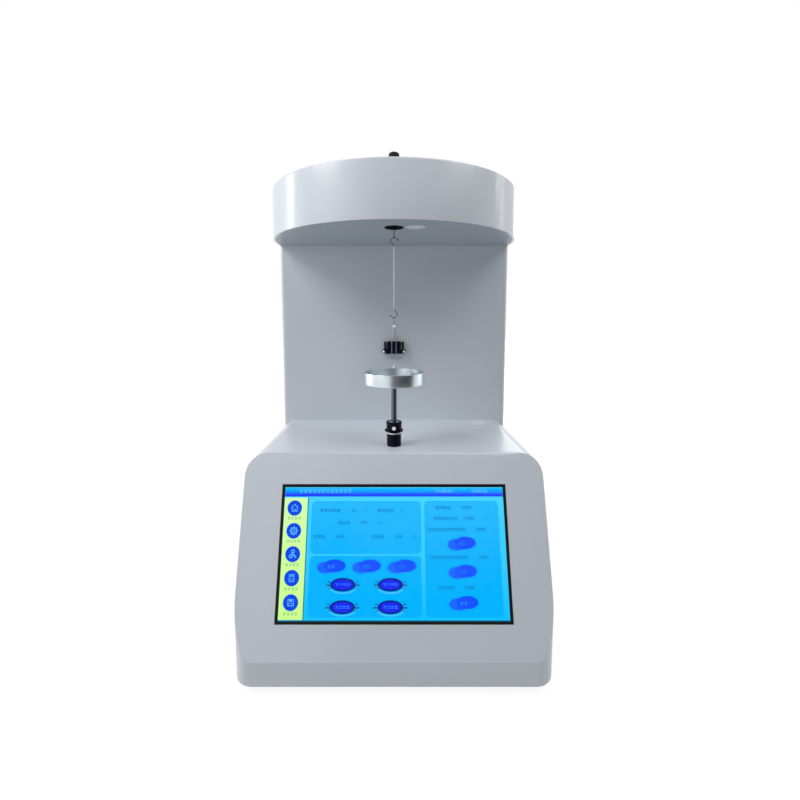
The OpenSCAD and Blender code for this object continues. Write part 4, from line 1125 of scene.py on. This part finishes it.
@dataclass
class Stage:
    """Dish, rod, collar and sleeve, all turned about the hook's axis."""

    edge: float = 0.15 * MM
    rim: float = 3.0 * MM
    floor: float = 4.0 * MM
    fillet: float = 1.5 * MM
    hole_radius: float = 2.05 * MM
    hole_deep: float = 2.7 * MM
    foot_edge: float = 0.6 * MM
    lip_edge: float = 0.3 * MM
    band_proud: float = 0.03 * MM
    band_sunk: float = 0.1 * MM

    def build(self, maker: Maker) -> None:
        """Turns the dish and the sleeve's band of painted highlight, and dresses the rest."""
        axis = middle("sample_dish")
        turned = Metal((0.55, 0.61, 0.64), 0.32, Grain.RINGS, axis, 0.000008)
        maker.instead("sample_dish", "sample_dish_turned", self.dish(axis), turned)
        maker.coat("stage_rod", Metal((0.095, 0.115, 0.145), 0.3, Grain.RINGS, axis))
        maker.softened("stage_collar", BLACK_ANODISED, self.edge)
        maker.coat("collar_insert", Metal((0.80, 0.81, 0.83), 0.2, Grain.RINGS, axis))
        maker.softened("collar_screw", Metal((0.93, 0.94, 0.95), 0.55), self.edge)
        maker.softened("guide_sleeve", BLACK_ANODISED, self.edge)
        # A bright metal band that stands in for the highlight on the sleeve's upper chamfer: painted
        # highlight
        maker.piece("sleeve_painted_highlight", self.lip(axis), "case", slot_of("guide_sleeve"),
                    Metal((0.80, 0.81, 0.83), 0.5))

    def lip(self, axis: Pair) -> BMesh:
        """A bright band on the sleeve's upper chamfer and just below it: a painted highlight, where the
        chamfer catches the light.
        """
        low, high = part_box("guide_sleeve")
        r, proud, sunk = (high.x - low.x) / 2, self.band_proud, self.band_sunk
        top, knee, foot = high.z - 0.6 * MM, high.z - 1.2 * MM, high.z - 2.1 * MM
        return lathe([
            (r - sunk, foot), (r + proud, foot), (r + proud, knee), (r - 0.6 * MM + proud, top + proud),
            (r - 0.7 * MM, top), (r - sunk, knee), (r - sunk, foot),
        ], axis)

    def dish(self, axis: Pair) -> BMesh:
        """The dish: turned outside, a rounded rim and a shallow flat-floored recess."""
        low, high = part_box("sample_dish")
        r = (high.x - low.x) / 2
        inner, floor = r - self.rim, low.z + self.floor
        arc = [(math.cos(i * math.pi / 10), math.sin(i * math.pi / 10)) for i in range(6)]
        foot, lip, fillet = self.foot_edge, self.lip_edge, self.fillet
        hole, hole_top = self.hole_radius, low.z + self.hole_deep
        profile = [(0.0, hole_top), (hole, hole_top), (hole, low.z), (r - foot, low.z)]
        profile += [(r - foot + foot * s, low.z + foot - foot * c) for c, s in arc]
        profile += [(r - lip + lip * c, high.z - lip + lip * s) for c, s in arc]
        profile += [(inner + lip - lip * s, high.z - lip + lip * c) for c, s in arc]
        profile += [(inner - fillet + fillet * c, floor + fillet - fillet * s) for c, s in arc]
        return lathe([*profile, (0.0, floor)], axis, 128)


# ---- small parts outside ----


@dataclass
class Fittings:
    """Level, ring holder, parking hook, feet, screws and rear sockets."""

    edge: float = 0.25 * MM
    fine_edge: float = 0.15 * MM
    round_edge: float = 0.2 * MM

    def build(self, maker: Maker) -> None:
        """Dresses the small outside pieces."""
        maker.softened("bubble_body", OPAL, self.round_edge)
        maker.coat("bubble_vial", Plastic((0.80, 0.87, 0.86), 0.08, 500.0, coat=1.0))
        maker.softened("probe_socket", BLACK_GLOSS, self.edge)
        maker.coat("probe_screws", BRIGHT_STEEL)
        maker.coat("park_hook", BRIGHT_STEEL)
        for end in ("front_left", "front_right", "rear_left", "rear_right"):
            maker.softened(f"foot_{end}", RUBBER, self.edge)
        for node in ("mains_inlet", "switch_frame", "fuse_drawer", "power_rocker"):
            maker.softened(node, BLACK_GLOSS, self.edge)
        maker.softened("serial_socket", PLATED, self.fine_edge)
        maker.coat("inlet_pins", PLATED)
        maker.softened("case_screws", ZINC, self.round_edge)


# ---- inside ----


@dataclass
class Inside:
    """Pieces within the housing, seen only through the vents and openings."""

    finishes: dict[str, Finish] = field(default_factory=lambda: {
        "foot_nuts": ZINC, "lamp_board": BOARD_GREEN, "balance_bracket": MILLED, "magnet_pot": IRON,
        "sleeve_nut": ZINC, "lift_frame": MILLED, "guide_rods": GROUND,
        "lift_motor": Paint((0.02, 0.02, 0.022), 0.4), "screw_bearing": GROUND,
        "controller_board": BOARD_GREEN, "board_posts": PLATED, "power_supply": MILLED,
        "lift_carriage": MILLED, "lift_nut": BRASS, "lead_screw": GROUND, "shaft_coupling": MILLED,
        "motor_shaft": GROUND, "coil_hanger": OPAL, "force_coil": COPPER, "lock_pin": BRIGHT_STEEL,
    })

    def build(self, maker: Maker) -> None:
        """Gives each inner node its finish."""
        for node, finish in self.finishes.items():
            maker.coat(node, finish)


# ---- studio ----


@dataclass
class Studio:
    """Camera, lamps, floor and backdrop."""

    camera_at: Triple = (0.0, -0.5161, 0.35435)
    pitch: float = 0.096
    lens: float = 19.44
    sensor: float = 36.0
    shift: Pair = (0.0075, -0.0536)
    white: Triple = (1.0, 1.0, 1.0)
    sky: Triple = (0.70, 0.86, 1.0)
    sky_strength: float = 0.03
    floor_half: float = 6.0
    floor_glow: float = 1.3
    glow_near: float = 0.7
    shadow_ends: float = 0.35
    shadow_fades: float = 0.5
    card_from: float = math.radians(-12)
    card_to: float = math.radians(72)
    card_radius: float = 0.62
    card_high: float = 0.62

    def build(self) -> None:
        """Sets up the whole studio."""
        self.camera()
        self.floor()
        self.world()
        self.card()
        self.lamp("key_left", (-0.75, -0.62, 0.78), (0.0, 0.0, 0.34), (0.7, 0.9), 2.2)
        self.lamp("top_front", (0.0, -0.9, 1.3), (0.0, 0.0, 0.2), (0.9, 0.6), 1.0)
        self.lamp("high_left", (-0.9, -0.45, 1.2), (0.0, 0.0, 0.25), (0.6, 0.6), 7.8)
        self.lamp("high_right", (0.9, -0.45, 1.2), (0.0, 0.0, 0.25), (0.6, 0.6), 4.2)
        self.lamp("steep_right", (0.6, -0.5, 1.45), (0.05, -0.05, 0.2), (0.6, 0.5), 2.8)
        self.lamp("low_front", (0.1, -1.1, 0.35), (0.0, 0.0, 0.2), (0.5, 0.3), 0.9)
        self.lamp("back_soft", (0.35, 1.25, 0.75), (0.0, 0.15, 0.25), (0.9, 0.6), 4.0)
        self.lamp("side_left", (-0.98, 0.2, 0.5), (-0.1, 0.0, 0.4), (0.16, 0.8), 2.8)
        self.lamp("side_right", (0.94, 0.33, 0.5), (0.1, 0.0, 0.4), (0.12, 0.8), 0.8)
        bpy.context.scene.view_settings.view_transform = "Standard"
        log.info("studio ready")

    def camera(self) -> None:
        """The photograph's camera."""
        data = bpy.data.cameras.new("camera")
        data.sensor_width = self.sensor
        data.lens = self.lens
        data.shift_x, data.shift_y = self.shift
        obj = added("camera", data)
        obj.location = self.camera_at
        obj.rotation_euler = (UPRIGHT - self.pitch, 0.0, 0.0)
        bpy.context.scene.camera = obj

    @staticmethod
    def lamp(name: str, at: Triple, aim: Triple, size: Pair, power: float) -> None:
        """One soft rectangular lamp that looks at a point."""
        data = bpy.data.lights.new(name, "AREA")
        data.shape = "RECTANGLE"
        data.size, data.size_y = size
        data.energy = power
        obj = added(name, data)
        obj.location = at
        obj.rotation_euler = (Vector(aim) - Vector(at)).to_track_quat("-Z", "Y").to_euler()

    @staticmethod
    def seen(shader: Shader) -> Sock:
        """One for rays from the camera, and for those that show the backdrop in metal and glass."""
        rays = ("Camera", "Glossy", "Transmission")
        return sum(shader.node("LightPath", out=f"Is {ray} Ray") for ray in rays).over(0.5)

    def card(self) -> None:
        """A dark curved card in front, to the right, that only shows in reflections."""
        bm = bmesh.new()
        start = Matrix.Rotation(self.card_from, 3, "Z") @ Vector((0, -self.card_radius, 0))
        ends = [bm.verts.new(start + Vector((0, 0, height))) for height in (0.0, self.card_high)]
        bmesh.ops.spin(
            bm, geom=[*ends, bm.edges.new(ends)], cent=(0, 0, 0), axis=(0, 0, 1),
            angle=self.card_to - self.card_from, steps=40, use_merge=False, use_duplicate=False,
        )
        obj = shown("dark_card", bm)
        obj.data.materials.append(Plastic((0.02, 0.045, 0.062), 0.9, shine=0.0).dress("card_dark"))
        obj.visible_camera = obj.visible_shadow = obj.visible_diffuse = obj.visible_transmission = False

    def floor(self) -> None:
        """A wide pale floor that keeps a soft shadow near the object."""
        bm = bmesh.new()
        bmesh.ops.create_grid(bm, x_segments=1, y_segments=1, size=self.floor_half)
        obj = shown("floor", bm)
        shader = Shader("floor_pale")
        where = shader.place()
        grain = shader.noise(where, 12.0)
        x, y, _ = shader.split(where)
        away = ((x * x + y * y).apply("SQRT") - self.shadow_ends) / self.shadow_fades
        kept = shader.node("Clamp", inputs={"Value": away, "Min": 0.0, "Max": 1.0})
        tone = shader.mix(grain, (0.53, 0.535, 0.54), (0.57, 0.575, 0.58))
        matt = shader.node("BsdfPrincipled", inputs={"Base Color": tone, "Roughness": 0.9})
        glow = shader.node("Emission", inputs={"Color": self.white, "Strength": self.floor_glow})
        share = self.seen(shader) * (self.glow_near + kept * (1 - self.glow_near))
        mixed = shader.node("MixShader", inputs={0: share, 1: matt, 2: glow})
        obj.data.materials.append(shader.end(mixed))

    def world(self) -> None:
        """An even soft light, and a white backdrop where it is seen."""
        world = bpy.data.worlds.new("studio")
        bpy.context.scene.world = world
        shader = Shader("studio", world)
        soft = shader.node("Background", inputs={"Color": self.sky, "Strength": self.sky_strength})
        white = shader.node("Background", inputs={"Color": self.white, "Strength": 1.0})
        mixed = shader.node("MixShader", inputs={0: self.seen(shader), 1: soft, 2: white})
        shader.node("OutputWorld", inputs={"Surface": mixed})


def main() -> None:
    """Builds the studio and every sub-assembly."""
    logging.basicConfig(level=logging.INFO, format="%(message)s")
    Studio().build()
    maker = Maker()
    for part in (Housing(), Screen(), Balance(), Hanging(), Stage(), Fittings(), Inside()):
        part.build(maker)
        log.info("%s done", type(part).__name__)


if __name__ == "__main__":
    main()
